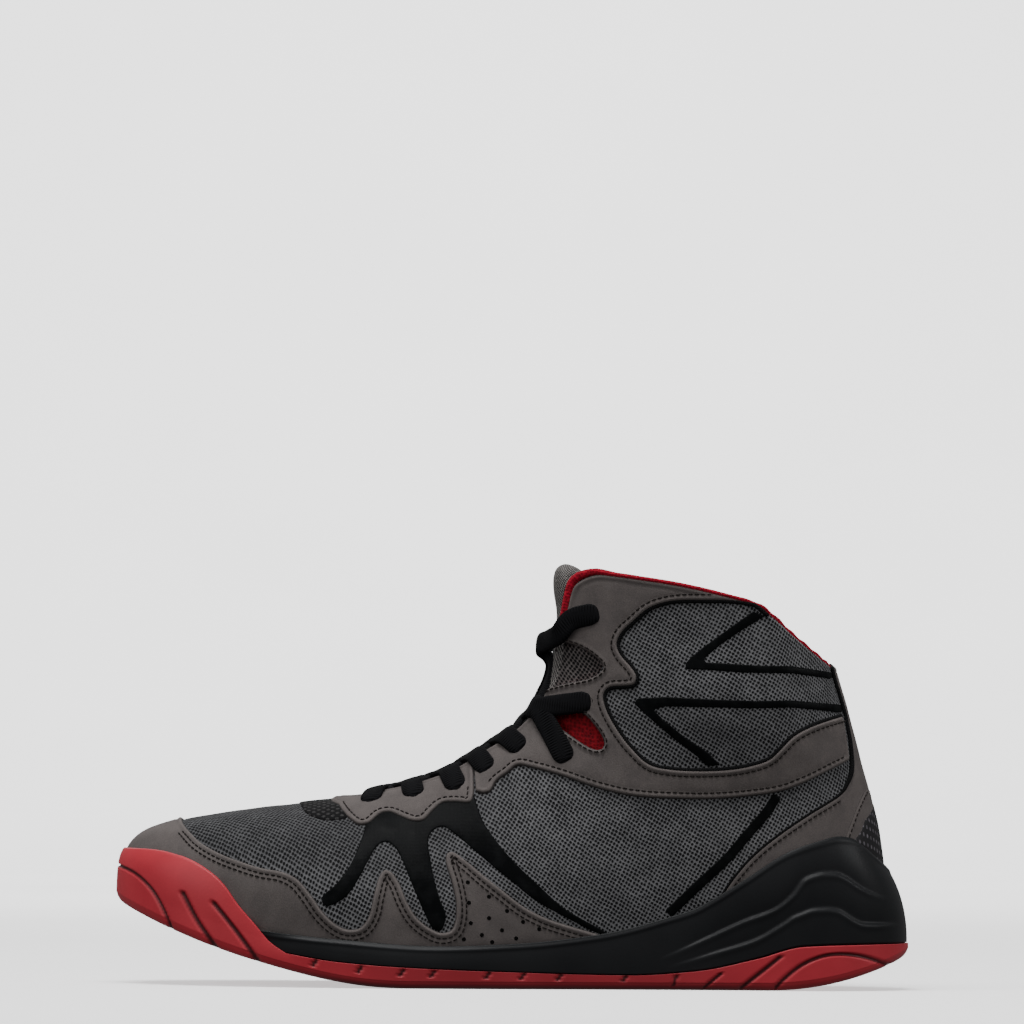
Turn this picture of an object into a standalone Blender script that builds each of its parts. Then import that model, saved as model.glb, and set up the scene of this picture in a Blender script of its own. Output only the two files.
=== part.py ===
"""Left high-top sneaker: outsole, midsole, insole, hollow upper, padded tongue and lace.

Sizes are millimetres from the toe tip (x, towards the heel), the long axis of the sole
(y, outer side of the foot negative) and the floor (z). A place around the shoe is told by
a turn: 0 at the back of the heel, 1 at the toe tip, 0 to 1 along the outer side and
2 down to 1 along the inner side.
"""
import math
from collections import namedtuple

import bmesh
import bpy
import numpy as np

MM = 0.001
GAP = 0.3

# Ends of the upper at the footbed, inside the toe wrap and the heel cup
TOE_X = 3.5
HEEL_X = 287.0
TOE_TIP_Y = 6.0

# Bottom of the outsole: toe spring, heel bevel and the raised inner arch
TOE_SPRING = 30.0
SPRING_START = 110.0
SPRING_BEND = 1.88
HEEL_BEVEL = 12.4
HEEL_BEVEL_START = 262.0
HEEL_BEVEL_RUN = 32.0
ARCH_RISE = 2.2
ARCH_START = 152.0
ARCH_END = 204.0
FLEX_GROOVES = (74.0, 91.0, 106.5, 118.0, 139.0, 152.0, 166.0, 190.0, 208.0)
GROOVE_WIDTH = 1.6
GROOVE_DEPTH = 2.0

# Footbed height over the outsole's bottom, from forefoot to heel
FOREFOOT_STACK = 10.5
HEEL_STACK = 22.0
STACK_START = 90.0
STACK_END = 265.0

# Walls
UPPER_WALL = 2.3
COLLAR_PAD = 1.2
INSOLE_THICKNESS = 4.0
OUTSOLE_TOE = 5.4
LIP_EDGE = 1.8
SOLE_LEDGE = 0.5
SOLE_SEAM = 0.4
WRAP_EDGE = 2.2
TONGUE_THICKNESS = 5.0
TONGUE_GAP = 0.6
TONGUE_CROWN = 0.62
TONGUE_ROWS = (64.0, 78.0, 93.0, 108.0, 123.0, 138.0, 152.0, 164.0, 174.0, 184.0, 194.0)
LACE_WIDTH = 6.0
LACE_THICKNESS = 2.0
LACE_LIFT = 1.9
LACE_SIDES = 6

# Mesh steps: points along one side of the shoe and rings up the wall
SIDE_STEPS = 30
WALL_RINGS = 13

# Plan of the upper at the footbed: ball and heel breadths from the axis
Side = namedtuple("Side", "sign ball_x ball toe_bow toe_round heel_x heel pinch")
OUTER = Side(-1.0, 108.0, 50.0, 2.4, 2.0, 245.0, 33.5, 0.0)
INNER = Side(1.0, 85.0, 46.0, 2.2, 2.1, 240.0, 33.0, 3.5)
HEEL_BOW = 2.2

# Top line of the upper, from the back of the collar round to the front of the throat.
# foot_x is where the wall starts at the footbed; squareness and ramp shape the wall.
TopRow = namedtuple("TopRow", "name foot_x x middle half_gap z squareness ramp")
TOP_LINE = (
    TopRow("heel_back", 287.0, 268.4, 0.0, 0.0, 120.0, 6.0, 0.66),
    TopRow("heel_side", 278.0, 264.7, 0.0, 14.0, 122.6, 6.0, 0.67),
    TopRow("heel_quarter", 262.0, 252.5, 0.0, 24.5, 132.4, 5.0, 0.70),
    TopRow("ankle_rear", 248.0, 239.0, 0.0, 29.0, 143.6, 4.0, 0.70),
    TopRow("ankle", 234.0, 219.0, 0.0, 31.0, 149.8, 3.5, 0.70),
    TopRow("collar_side", 220.0, 198.0, 0.0, 29.5, 153.6, 3.0, 0.65),
    TopRow("collar_front", 209.0, 180.0, 0.0, 25.5, 155.6, 2.6, 0.60),
    TopRow("collar_corner", 202.0, 170.0, 0.0, 22.5, 151.0, 2.4, 0.55),
    TopRow("throat_top", 194.0, 167.0, 0.0, 21.0, 138.0, 2.3, 0.50),
    TopRow("throat_mid", 180.0, 163.5, 0.5, 19.5, 117.0, 2.2, 0.42),
    TopRow("throat_bend", 163.0, 154.5, 1.0, 18.0, 100.0, 2.1, 0.36),
    TopRow("instep", 142.0, 139.0, 2.0, 16.5, 87.8, 2.1, 0.32),
    TopRow("eyelet_rows", 117.0, 121.0, 3.0, 15.0, 77.6, 2.2, 0.28),
    TopRow("vamp", 88.0, 103.0, 4.0, 13.0, 72.6, 2.5, 0.25),
    TopRow("vamp_point", 60.0, 91.5, 4.0, 9.0, 70.3, 3.2, 0.27),
    TopRow("toe_corner", 25.0, 87.0, 4.0, 4.5, 69.8, 3.9, 0.30),
    TopRow("toe_tip", 3.5, 86.0, 4.0, 0.0, 69.7, 4.2, 0.31),
)

# Soft swellings and hollows of the ankle, seen from the side
Swell = namedtuple("Swell", "name x z reach_x reach_z out")
SWELLS = (
    Swell("ankle_hollow", 236.0, 72.0, 30.0, 20.0, -2.2),
    Swell("ankle_bone", 222.0, 104.0, 26.0, 20.0, 2.6),
    Swell("ball_bulge", 100.0, 34.0, 50.0, 16.0, 1.2),
)

# Heights of the sole's lines along the shoe
Line = namedtuple("Line", "x z")
RED_LINE = (Line(66, 11.3), Line(84, 8.3), Line(108, 6.4), Line(144, 5.0), Line(192, 4.0),
            Line(216, 5.7), Line(240, 10.5), Line(256, 14.8), Line(295, 16.1))
WRAP_LINE = (Line(0, 50.6), Line(12, 50.2), Line(24, 47.8), Line(36, 42.3), Line(42, 37.5),
             Line(48, 30.0), Line(54, 23.4), Line(60, 15.8), Line(66, 11.3))
LIP_LINE = (Line(48, 21.2), Line(57, 19.3), Line(84, 16.1), Line(121, 13.9), Line(151, 15.2),
            Line(181, 20.4), Line(211, 30.4), Line(237, 44.9), Line(255, 54.3),
            Line(263, 55.0), Line(275, 51.7), Line(288, 45.0))
Flare = namedtuple("Flare", "x out")
FLARE = (Flare(3.5, 3.4), Flare(60, 3.8), Flare(110, 4.5), Flare(170, 3.5),
         Flare(225, 4.5), Flare(262, 6.0), Flare(287, 8.0))

# Two leaf-shaped notches in the front edges of the ankle panels, seen from the side
Notch = namedtuple("Notch", "name front_x top_z bottom_z tip_x tip_z")
NOTCHES = (
    Notch("upper_notch", 152.0, 133.0, 112.0, 182.5, 119.4),
    Notch("lower_notch", 140.0, 107.5, 96.0, 183.0, 94.6),
)

# Eyelets seen from the side, from the toe end up
Eyelet = namedtuple("Eyelet", "x z")
EYELETS = (Eyelet(95.5, 69.9), Eyelet(112.0, 72.2), Eyelet(126.5, 76.0), Eyelet(137.4, 84.0),
           Eyelet(151.6, 91.2), Eyelet(168.5, 85.8), Eyelet(176.7, 106.4), Eyelet(179.7, 139.4))


def ease(t):
    """Smooth step from 0 to 1."""
    t = np.clip(t, 0.0, 1.0)
    return t * t * (3.0 - 2.0 * t)


def monotone(knots, values, where, period=None):
    """Cubic through the knots that never overshoots; values may have columns."""
    k = np.asarray(knots, float)
    v = np.asarray(values, float).reshape(len(k), -1)
    q = np.asarray(where, float)
    if period:
        k = np.concatenate([k[-3:] - period, k, k[:3] + period])
        v = np.concatenate([v[-3:], v, v[:3]])
        q = (q - k[3]) % period + k[3]
    h = np.diff(k)[:, None]
    d = np.diff(v, axis=0) / h
    slope = np.zeros_like(v)
    same = d[:-1] * d[1:] > 0
    w1 = 2 * h[1:] + h[:-1]
    w2 = h[1:] + 2 * h[:-1]
    bottom = w1 / np.where(same, d[:-1], 1.0) + w2 / np.where(same, d[1:], 1.0)
    slope[1:-1] = np.where(same, (w1 + w2) / bottom, 0.0)
    slope[0] = d[0]
    slope[-1] = d[-1]
    q = np.clip(q, k[0], k[-1])
    i = np.clip(np.searchsorted(k, q, side="right") - 1, 0, len(k) - 2)
    t = ((q - k[i]) / h[i, 0])[..., None]
    hermite = ((1 + 2 * t) * (1 - t) ** 2 * v[i] + t * (1 - t) ** 2 * h[i] * slope[i]
               + t * t * (3 - 2 * t) * v[i + 1] + t * t * (t - 1) * h[i] * slope[i + 1])
    return hermite if v.shape[1] > 1 else hermite[..., 0]


def line_at(line, x):
    """Height (or breadth) of one of the sole's lines at x."""
    return monotone([row[0] for row in line], [row[1] for row in line], x)


def plan_half(side, x):
    """Half breadth of the footbed at x: toe curve, waist and heel curve."""
    tip = TOE_TIP_Y * side.sign
    toe_t = np.clip((side.ball_x - x) / (side.ball_x - TOE_X), 0, 1)
    toe = tip + (side.ball - tip) * (1 - toe_t ** side.toe_bow) ** (1 / side.toe_round)
    heel_t = np.clip((x - side.heel_x) / (HEEL_X - side.heel_x), 0, 1)
    heel = side.heel * (1 - heel_t ** HEEL_BOW) ** 0.5
    t = np.clip((x - side.ball_x) / (side.heel_x - side.ball_x), 0, 1)
    waist = side.ball + (side.heel - side.ball) * ease(t) - side.pinch * np.sin(math.pi * t) ** 2
    return np.where(x < side.ball_x, toe, np.where(x > side.heel_x, heel, waist))


def side_outline(side):
    """Run of one side of the footbed from heel to toe: turn, x and y."""
    angle = np.linspace(0, math.pi, 801)
    x = TOE_X + (HEEL_X - TOE_X) * (1 + np.cos(angle)) / 2
    y = side.sign * plan_half(side, x)
    run = np.concatenate([[0], np.cumsum(np.hypot(np.diff(x), np.diff(y)))])
    return run / run[-1], x, y


OUTLINES = {OUTER: side_outline(OUTER), INNER: side_outline(INNER)}


def turn_at(side, x):
    """Turn at which one side of the footbed reaches x."""
    turn, xs, _ = OUTLINES[side]
    along = np.interp(-np.asarray(x, float), -xs, turn)
    return along if side is OUTER else 2.0 - along


def footprint(turn):
    """Plan point of the footbed's edge."""
    turn = np.mod(turn, 2.0)
    outer, inner = OUTLINES[OUTER], OUTLINES[INNER]
    columns = []
    for axis in (1, 2):
        along_outer = np.interp(turn, outer[0], outer[axis])
        along_inner = np.interp(2 - turn, inner[0], inner[axis])
        columns.append(np.where(turn <= 1, along_outer, along_inner))
    return np.stack(columns, -1)


def outward(turn):
    """Unit plan normal of the footbed's edge, away from the foot."""
    step = footprint(turn + 0.004) - footprint(turn - 0.004)
    normal = np.stack([-step[..., 1], step[..., 0]], -1)
    return normal / np.linalg.norm(normal, axis=-1, keepdims=True)


def spring(x):
    """Lift of the sole towards the toe."""
    return TOE_SPRING * np.clip((SPRING_START - x) / SPRING_START, 0, None) ** SPRING_BEND


def bottom(x, y):
    """Height of the outsole's underside."""
    bevel = HEEL_BEVEL * np.clip((x - HEEL_BEVEL_START) / HEEL_BEVEL_RUN, 0, None) ** 1.5
    t = np.clip((x - ARCH_START) / (ARCH_END - ARCH_START), 0, 1)
    arch = ARCH_RISE * np.sin(math.pi * t) ** 2 * ease((y + 30.0) / 60.0)
    return spring(x) + bevel + arch


def footbed(x):
    """Height of the midsole's top under the foot."""
    rise = ease((x - STACK_START) / (STACK_END - STACK_START))
    return spring(x) + FOREFOOT_STACK + (HEEL_STACK - FOREFOOT_STACK) * rise


def tray(x):
    """Height of the outsole's top, where the midsole lies."""
    first = RED_LINE[0]
    step = first.z - float(spring(first.x)) - OUTSOLE_TOE
    front = spring(x) + OUTSOLE_TOE + step * ease((x - first.x + 26.0) / 26.0)
    return np.where(x < first.x, front, line_at(RED_LINE, x))


def top_line(turn):
    """Top edge of the upper, with the two wall-shape values of each place."""
    knots, values = [], []
    for row in TOP_LINE:
        knots.append(float(turn_at(OUTER, row.foot_x)))
        values.append((row.x, row.middle - row.half_gap, row.z, row.squareness, row.ramp))
    for row in reversed(TOP_LINE[1:-1]):
        knots.append(float(turn_at(INNER, row.foot_x)))
        values.append((row.x, row.middle + row.half_gap, row.z, row.squareness, row.ramp))
    return monotone(knots, values, turn, period=2.0)


def walls(turn, count=81):
    """Outer face of the upper: for each turn, a line of points from footbed to top edge."""
    turn = np.asarray(turn, float)
    foot = footprint(turn)
    base = np.concatenate([foot, (footbed(foot[:, 0]) + GAP)[:, None]], 1)
    edge = top_line(turn)
    power = 2.0 / edge[:, 3:4]
    ramp = edge[:, 4:5]
    angle = np.linspace(0, math.pi / 2, count)[None]
    lean = 1 - np.clip(np.cos(angle), 0, 1) ** power
    rise = (1 - ramp) * np.sin(angle) ** power + ramp * lean
    share = np.stack([lean, lean, rise], -1)
    points = base[:, None] + (edge[:, None, :3] - base[:, None]) * share
    swell = np.zeros(points.shape[:2])
    for row in SWELLS:
        far = ((points[..., 0] - row.x) / row.reach_x) ** 2 + ((points[..., 2] - row.z) / row.reach_z) ** 2
        swell += row.out * np.exp(-far)
    fade = np.sin(np.pi * np.clip(rise, 0, 1)) ** 0.5
    points[..., :2] += outward(turn)[:, None] * (swell * fade)[..., None]
    return points


def upper_grid(turn, share):
    """Outer face at equal shares of the wall's length."""
    lines = walls(turn)
    grid = np.empty((len(lines), len(share), 3))
    for i, line in enumerate(lines):
        run = np.concatenate([[0], np.cumsum(np.linalg.norm(np.diff(line, axis=0), axis=1))])
        for axis in range(3):
            grid[i, :, axis] = np.interp(np.asarray(share) * run[-1], run, line[:, axis])
    return grid


def upper_normals(turn, share):
    """Outward unit normals of the upper."""
    turn = np.asarray(turn, float)
    share = np.asarray(share, float)
    around = upper_grid(turn + 0.003, share) - upper_grid(turn - 0.003, share)
    up = upper_grid(turn, np.clip(share + 0.01, 0, 1)) - upper_grid(turn, np.clip(share - 0.01, 0, 1))
    normal = np.cross(up, around)
    return normal / np.linalg.norm(normal, axis=-1, keepdims=True)


def upper_wall(points):
    """Thickness of the upper at points on its outer face."""
    return UPPER_WALL + COLLAR_PAD * ease((points[..., 2] - 95.0) / 45.0)


def wall_ring(turn, height, out):
    """Ring around the upper's outer face at given heights, moved outward."""
    lines = walls(turn)
    ring = np.empty((len(lines), 3))
    height = np.broadcast_to(height, len(lines))
    out = np.broadcast_to(out, len(lines))
    for i, line in enumerate(lines):
        ring[i, 0] = np.interp(height[i], line[:, 2], line[:, 0])
        ring[i, 1] = np.interp(height[i], line[:, 2], line[:, 1])
    ring[:, :2] += outward(turn) * out[:, None]
    ring[:, 2] = height
    return ring


def finish_mesh(name, verts, faces, colour):
    """Object from points in millimetres, with outward faces and its own material."""
    bm = bmesh.new()
    points = [bm.verts.new([float(c) * MM for c in p]) for p in verts]
    for face in faces:
        bm.faces.new([points[i] for i in face])
    bmesh.ops.triangulate(bm, faces=bm.faces[:])
    bmesh.ops.recalc_face_normals(bm, faces=bm.faces[:])
    mesh = bpy.data.meshes.new(name)
    bm.to_mesh(mesh)
    bm.free()
    obj = bpy.data.objects.new(name, mesh)
    bpy.context.collection.objects.link(obj)
    material = bpy.data.materials.new(name + "_material")
    material.use_nodes = True
    shader = material.node_tree.nodes["Principled BSDF"]
    shader.inputs["Base Color"].default_value = (*colour, 1.0)
    shader.inputs["Roughness"].default_value = 0.7
    mesh.materials.append(material)
    return obj


def ring_faces(rows, count, closed):
    """Quads between rows of rings; closed also joins the last row to the first."""
    faces = []
    for r in range(rows if closed else rows - 1):
        below, above = r * count, ((r + 1) % rows) * count
        for i in range(count):
            j = (i + 1) % count
            faces.append((below + i, below + j, above + j, above + i))
    return faces


def cap_faces(verts, start, count, columns, height):
    """Close a ring across the shoe with rows of points from the outer to the inner side."""
    half = count // 2
    rows = {}
    for i in range(1, half):
        a, b = np.array(verts[start + i]), np.array(verts[start + count - i])
        row = [start + i]
        for c in range(1, columns + 1):
            p = a + (b - a) * c / (columns + 1)
            p[2] = float(height(p[0], p[1]))
            row.append(len(verts))
            verts.append(p)
        rows[i] = row + [start + count - i]
    faces = []
    for c in range(columns + 1):
        faces.append((start, rows[1][c], rows[1][c + 1]))
        faces.append((rows[half - 1][c], start + half, rows[half - 1][c + 1]))
        for i in range(1, half - 1):
            faces.append((rows[i][c], rows[i + 1][c], rows[i + 1][c + 1], rows[i][c + 1]))
    return faces


def capped_solid(name, rings, low, high, columns, colour):
    """Solid of stacked rings, closed across the first and the last of them."""
    count = len(rings[0])
    verts = [p for ring in rings for p in ring]
    faces = ring_faces(len(rings), count, closed=False)
    faces += cap_faces(verts, 0, count, columns, low)
    faces += cap_faces(verts, (len(rings) - 1) * count, count, columns, high)
    return finish_mesh(name, verts, faces, colour)


class Sole:
    """Rings of the outsole, midsole and insole, worked out at shared places round the shoe."""

    def __init__(self):
        self.turn = np.arange(2 * SIDE_STEPS) / SIDE_STEPS
        foot = footprint(self.turn)
        self.x = foot[:, 0]
        self.bed = footbed(self.x)
        self.tray = tray(self.x)
        self.flare = line_at(FLARE, self.x)
        self.wrapped = 1 - ease((self.x - 44.0) / 30.0)
        rise = np.maximum(line_at(LIP_LINE, self.x) - self.bed, 0.0)
        self.lip = self.bed + rise * ease((self.x - 64.0) / 10.0)
        self.rim = np.maximum(np.where(self.x < 66, line_at(WRAP_LINE, self.x), 0), self.tray)

    def midsole_out(self, share):
        """How far the midsole stands out from the upper, from its foot (0) to its lip (1)."""
        foot = (self.flare - SOLE_LEDGE) * (1 - self.wrapped)
        lip = LIP_EDGE * (1 - self.wrapped)
        return foot + (lip - foot) * np.clip(share, 0, 1) ** 2.2

    def outsole(self):
        """Bottom, rolled edge, outer wall with the toe wrap, and the tray on top."""
        plan = footprint(self.turn)
        normal = outward(self.turn)
        rings = []

        def low_ring(out, rise):
            xy = plan + normal * np.broadcast_to(out, len(plan))[:, None]
            low = bottom(xy[:, 0], xy[:, 1])
            height = low + rise * np.minimum(self.rim - low, 5.0)
            return np.concatenate([xy, height[:, None]], 1)

        rings.append(low_ring(self.flare - 4.5, 0.0))
        rings.append(low_ring(self.flare - 1.3, 0.16))
        rings.append(low_ring(self.flare - 0.2, 0.55))
        start = rings[-1][:, 2]
        top_out = WRAP_EDGE * self.wrapped + self.flare * (1 - self.wrapped)
        for t in (0.4, 0.75, 1.0):
            rings.append(wall_ring(self.turn, start + (self.rim - start) * t,
                                   self.flare + (top_out - self.flare) * t * t))
        flat = 1 - ease((self.rim - self.tray) / 0.15)
        for step, t in enumerate((1.0, 0.5, 0.0)):
            height = self.tray + (self.rim - self.tray) * t
            share = (height - self.tray) / np.maximum(self.lip - self.tray, 0.1)
            out = self.midsole_out(share) + GAP + 0.4 * self.wrapped + flat * (0.12, 0.02, -0.4)[step]
            rings.append(wall_ring(self.turn, height, out))
        return capped_solid("outsole", rings, bottom, lambda x, y: tray(x), 3, (0.40, 0.03, 0.04))

    def midsole(self):
        """Sculpted side wall, lip against the upper, and the footbed inside it."""
        rings = []
        foot = self.tray + SOLE_SEAM
        for share in (0.0, 0.25, 0.5, 0.75, 1.0):
            rings.append(wall_ring(self.turn, foot + (self.lip - foot) * share, self.midsole_out(share)))
        tuck = 1 - ease((self.x - 46.0) / 8.0)
        for step, t in enumerate((1.0, 0.6, 0.25, 0.0)):
            out = GAP * (1 - tuck) - tuck * (0.5 + 0.5 * step)
            flat = 1 - ease((self.lip - self.bed) / 0.25)
            out = out - (1 - tuck) * flat * 0.12 * step
            rings.append(wall_ring(self.turn, self.bed + (self.lip - self.bed) * t, out))
        return capped_solid("midsole", rings, lambda x, y: tray(x) + SOLE_SEAM, lambda x, y: footbed(x),
                            3, (0.012, 0.012, 0.014))

    def insole(self):
        """Loose foam sheet on the footbed, inside the upper."""
        low = self.bed + GAP
        out = -(UPPER_WALL + 0.7)
        rings = [wall_ring(self.turn, low, out)]
        rings.append(wall_ring(self.turn, low + INSOLE_THICKNESS * 0.7, out))
        rings.append(wall_ring(self.turn, low + INSOLE_THICKNESS, out - 1.6))
        return capped_solid("insole", rings, lambda x, y: footbed(x) + GAP,
                            lambda x, y: footbed(x) + GAP + INSOLE_THICKNESS, 2, (0.35, 0.01, 0.02))


def build_upper():
    """Hollow upper: outer face up, inner face down, open below and at collar and throat."""
    turn = np.arange(2 * SIDE_STEPS) / SIDE_STEPS
    share = np.linspace(0, 1, WALL_RINGS)
    outer = upper_grid(turn, share)
    normal = upper_normals(turn, share)
    inner = outer - normal * upper_wall(outer)[..., None]
    inner[:, 0, 2] = outer[:, 0, 2]
    rings = [outer[:, k] for k in range(WALL_RINGS)] + [inner[:, k] for k in reversed(range(WALL_RINGS))]
    verts = [p for ring in rings for p in ring]
    return finish_mesh("upper", verts, ring_faces(len(rings), len(turn), closed=True), (0.09, 0.085, 0.083))


def prism(name, outline, y0, y1):
    """Straight bar across the shoe with the given side outline, for cutting."""
    count = len(outline)
    verts = [(x, y, z) for y in (y0, y1) for x, z in outline]
    faces = [tuple(range(count)), tuple(range(2 * count - 1, count - 1, -1))]
    for i in range(count):
        j = (i + 1) % count
        faces.append((i, j, count + j, count + i))
    return finish_mesh(name, verts, faces, (0.5, 0.5, 0.5))


def cut(target, cutter):
    """Take the cutter's space out of the target."""
    cutter.hide_render = True
    cutter.display_type = "WIRE"
    boolean = target.modifiers.new(cutter.name, "BOOLEAN")
    boolean.operation = "DIFFERENCE"
    boolean.solver = "EXACT"
    boolean.object = cutter


def notch_outline(notch, count=7):
    """Leaf with a rounded tip, open to the front."""
    points = []
    for i in range(count):
        t = i / (count - 1)
        x = notch.front_x + (notch.tip_x - notch.front_x) * math.sin(t * math.pi / 2)
        points.append((x, notch.top_z + (notch.tip_z + 1.0 - notch.top_z) * t ** 1.6))
    for i in reversed(range(count)):
        t = i / (count - 1)
        x = notch.front_x + (notch.tip_x - notch.front_x) * math.sin(t * math.pi / 2)
        points.append((x, notch.bottom_z + (notch.tip_z - 1.0 - notch.bottom_z) * t ** 1.6))
    return points


class Throat:
    """Places across the front opening: its two edges and the tongue between them."""

    def __init__(self):
        self.face = {}
        for side in (OUTER, INNER):
            turn = np.linspace(float(turn_at(side, 250.0)), float(turn_at(side, 40.0)), 220)
            share = np.linspace(0.3, 0.995, 110)
            points = upper_grid(turn, share).reshape(-1, 3)
            self.face[side] = points, upper_normals(turn, share).reshape(-1, 3)

    def edge(self, side, foot_x, back=0.0):
        """Place on the upper straight back from its edge, with its normal and the edge's run."""
        turn = float(turn_at(side, foot_x))
        point = top_line(np.array([turn]))[0, :3]
        along = (top_line(np.array([turn + 0.01])) - top_line(np.array([turn - 0.01])))[0, :3]
        along /= np.linalg.norm(along)
        points, normals = self.face[side]
        offset = points - point
        miss = np.abs(np.linalg.norm(offset, axis=1) - max(back, 2.0)) + 2.0 * np.abs(offset @ along)
        found = int(np.argmin(miss))
        if back == 0.0:
            return point, normals[found], along
        return points[found], normals[found], along

    def section(self, foot_x, wing=11.0):
        """Line across the tongue's outer face, from one wing under the upper to the other."""
        ends = []
        for side in (OUTER, INNER):
            lap = []
            for back in (wing, wing * 0.5, 0.0):
                point, normal, _ = self.edge(side, foot_x, back)
                lap.append(point - normal * (float(upper_wall(point)) + TONGUE_GAP))
            across = lap[2] - lap[1]
            ends.append((lap, across / np.linalg.norm(across)))
        (lap0, t0), (lap1, t1) = ends
        p0, p1 = lap0[2], lap1[2]
        pull = TONGUE_CROWN * np.linalg.norm(p1 - p0)
        middle = []
        for t in (0.0, 0.2, 0.4, 0.6, 0.8, 1.0):
            middle.append(p0 * (1 + 2 * t) * (1 - t) ** 2 + t0 * pull * t * (1 - t) ** 2
                          + p1 * t * t * (3 - 2 * t) + t1 * pull * t * t * (1 - t))
        return np.array(lap0[:2] + middle + lap1[1::-1])


def build_tongue(throat):
    """Padded tongue from under the vamp to above the collar."""
    rows = [throat.section(x) for x in TONGUE_ROWS]
    rows.insert(0, rows[0] + np.array([-9.0, 0.0, -2.4]))
    top = rows[-1]
    for narrow, shift in ((0.93, (-0.4, 0.0, 10.0)), (0.85, (-1.2, 0.0, 18.5))):
        rows.append(top * np.array([1.0, narrow, 1.0]) + np.array(shift))
    grid = np.array(rows)
    along = np.gradient(grid, axis=0)
    across = np.gradient(grid, axis=1)
    normal = np.cross(across, along)
    normal /= np.linalg.norm(normal, axis=-1, keepdims=True)
    normal *= np.sign(normal[6, 5, 2] - normal[6, 5, 0]) or 1.0
    thick = np.full(len(rows), TONGUE_THICKNESS)
    thick[0], thick[1], thick[-1] = 2.0, 3.2, 3.0
    inner = grid - normal * thick[:, None, None]
    count = grid.shape[1]
    rings = [np.concatenate([grid[i], inner[i, ::-1]]) for i in range(len(rows))]
    verts = [p for ring in rings for p in ring]
    ring = 2 * count
    faces = ring_faces(len(rings), ring, closed=False)
    for start in (0, (len(rings) - 1) * ring):
        for i in range(count - 1):
            faces.append((start + i, start + i + 1, start + ring - 2 - i, start + ring - 1 - i))
    return finish_mesh("tongue", verts, faces, (0.05, 0.05, 0.05))


def eyelet_place(side, eyelet):
    """Turn and wall share on the upper where an eyelet is seen from the side."""
    turn = np.linspace(float(turn_at(side, 200.0)), float(turn_at(side, 70.0)), 131)
    share = np.linspace(0.5, 1.0, 61)
    grid = upper_grid(turn, share)
    miss = np.hypot(grid[..., 0] - eyelet.x, grid[..., 2] - eyelet.z)
    i, k = np.unravel_index(np.argmin(miss), miss.shape)
    return turn[i], share[k], grid[i, k]


def strand(path, normals, name):
    """Flat oval lace along a path, its width lying on the surface below."""
    rings = []
    for i in range(len(path)):
        forward = path[min(i + 1, len(path) - 1)] - path[max(i - 1, 0)]
        forward = forward / np.linalg.norm(forward)
        normal = normals[i] - forward * np.dot(normals[i], forward)
        normal = normal / np.linalg.norm(normal)
        wide = np.cross(forward, normal)
        ring = []
        for k in range(LACE_SIDES):
            angle = math.tau * k / LACE_SIDES
            ring.append(path[i] + wide * (LACE_WIDTH / 2 * math.cos(angle))
                        + normal * (LACE_THICKNESS / 2 * math.sin(angle)))
        rings.append(ring)
    verts = [p for ring in rings for p in ring]
    faces = ring_faces(len(rings), LACE_SIDES, closed=False)
    faces.append(tuple(range(LACE_SIDES)))
    faces.append(tuple(range(len(verts) - LACE_SIDES, len(verts))))
    return finish_mesh(name, verts, faces, (0.01, 0.01, 0.01))


def edge_run(throat, side, eyelet):
    """Lace from an eyelet to the throat's edge: points over the upper, normals and edge place."""
    turn, share, point = eyelet_place(side, eyelet)
    edges = np.linspace(float(turn_at(side, 196.0)), float(turn_at(side, 66.0)), 221)
    line = top_line(edges)[:, :3]
    edge_turn = edges[int(np.argmin(np.linalg.norm(line - point, axis=1)))]
    points, normals = [], []
    for t in (0.0, 0.35, 0.7, 1.0):
        place = [turn + (edge_turn - turn) * t], [share + (1 - share) * t]
        normal = upper_normals(*place)[0, 0]
        points.append(upper_grid(*place)[0, 0] + normal * (LACE_LIFT + 0.5 * t))
        normals.append(normal)
    return points, normals, float(footprint(np.array([edge_turn]))[0, 0])


def build_laces(throat):
    """One bar at the lowest eyelets, then a crossing for each pair of rows above it."""
    runs = {(side, k): edge_run(throat, side, eyelet)
            for side in (OUTER, INNER) for k, eyelet in enumerate(EYELETS)}
    laces = []
    for k in range(len(EYELETS)):
        halves = []
        for side, other in ((OUTER, INNER), (INNER, OUTER)):
            points, normals, foot_x = runs[side, k]
            far_points, far_normals, far_x = runs[other, max(k - 1, 0)]
            middle_x = (foot_x + far_x) / 2
            section = throat.section(middle_x)
            centre = (section[4] + section[5]) / 2
            up = np.cross(section[5] - section[4], throat.section(middle_x + 2)[4] - section[4])
            up = up / np.linalg.norm(up) * (1.0 if up[2] - up[0] > 0 else -1.0)
            cross = centre + up * (LACE_LIFT + 0.9)
            dive = cross + (far_points[-1] - cross) * (0.12 if k == 1 else 0.40) + up * 0.6
            path = points + [points[-1] * 0.45 + cross * 0.55 + up * 0.8, cross]
            halves.append((path, normals + [up, up], dive, up))
        name = "lace_bar" if k == 0 else f"lace_cross_{k}"
        (path0, lift0, dive0, up0), (path1, lift1, dive1, up1) = halves
        if k == 0:
            laces.append(strand(path0 + path1[-2::-1], lift0 + lift1[-2::-1], name))
            continue
        first = strand(path0 + [dive0], lift0 + [up0], name)
        second = strand(path1 + [dive1], lift1 + [up1], name + "_other_strand")
        joined = first.modifiers.new("joined", "BOOLEAN")
        joined.operation = "UNION"
        joined.solver = "EXACT"
        joined.object = second
        second.hide_render = True
        second.display_type = "WIRE"
        laces.append(first)
    return laces


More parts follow.
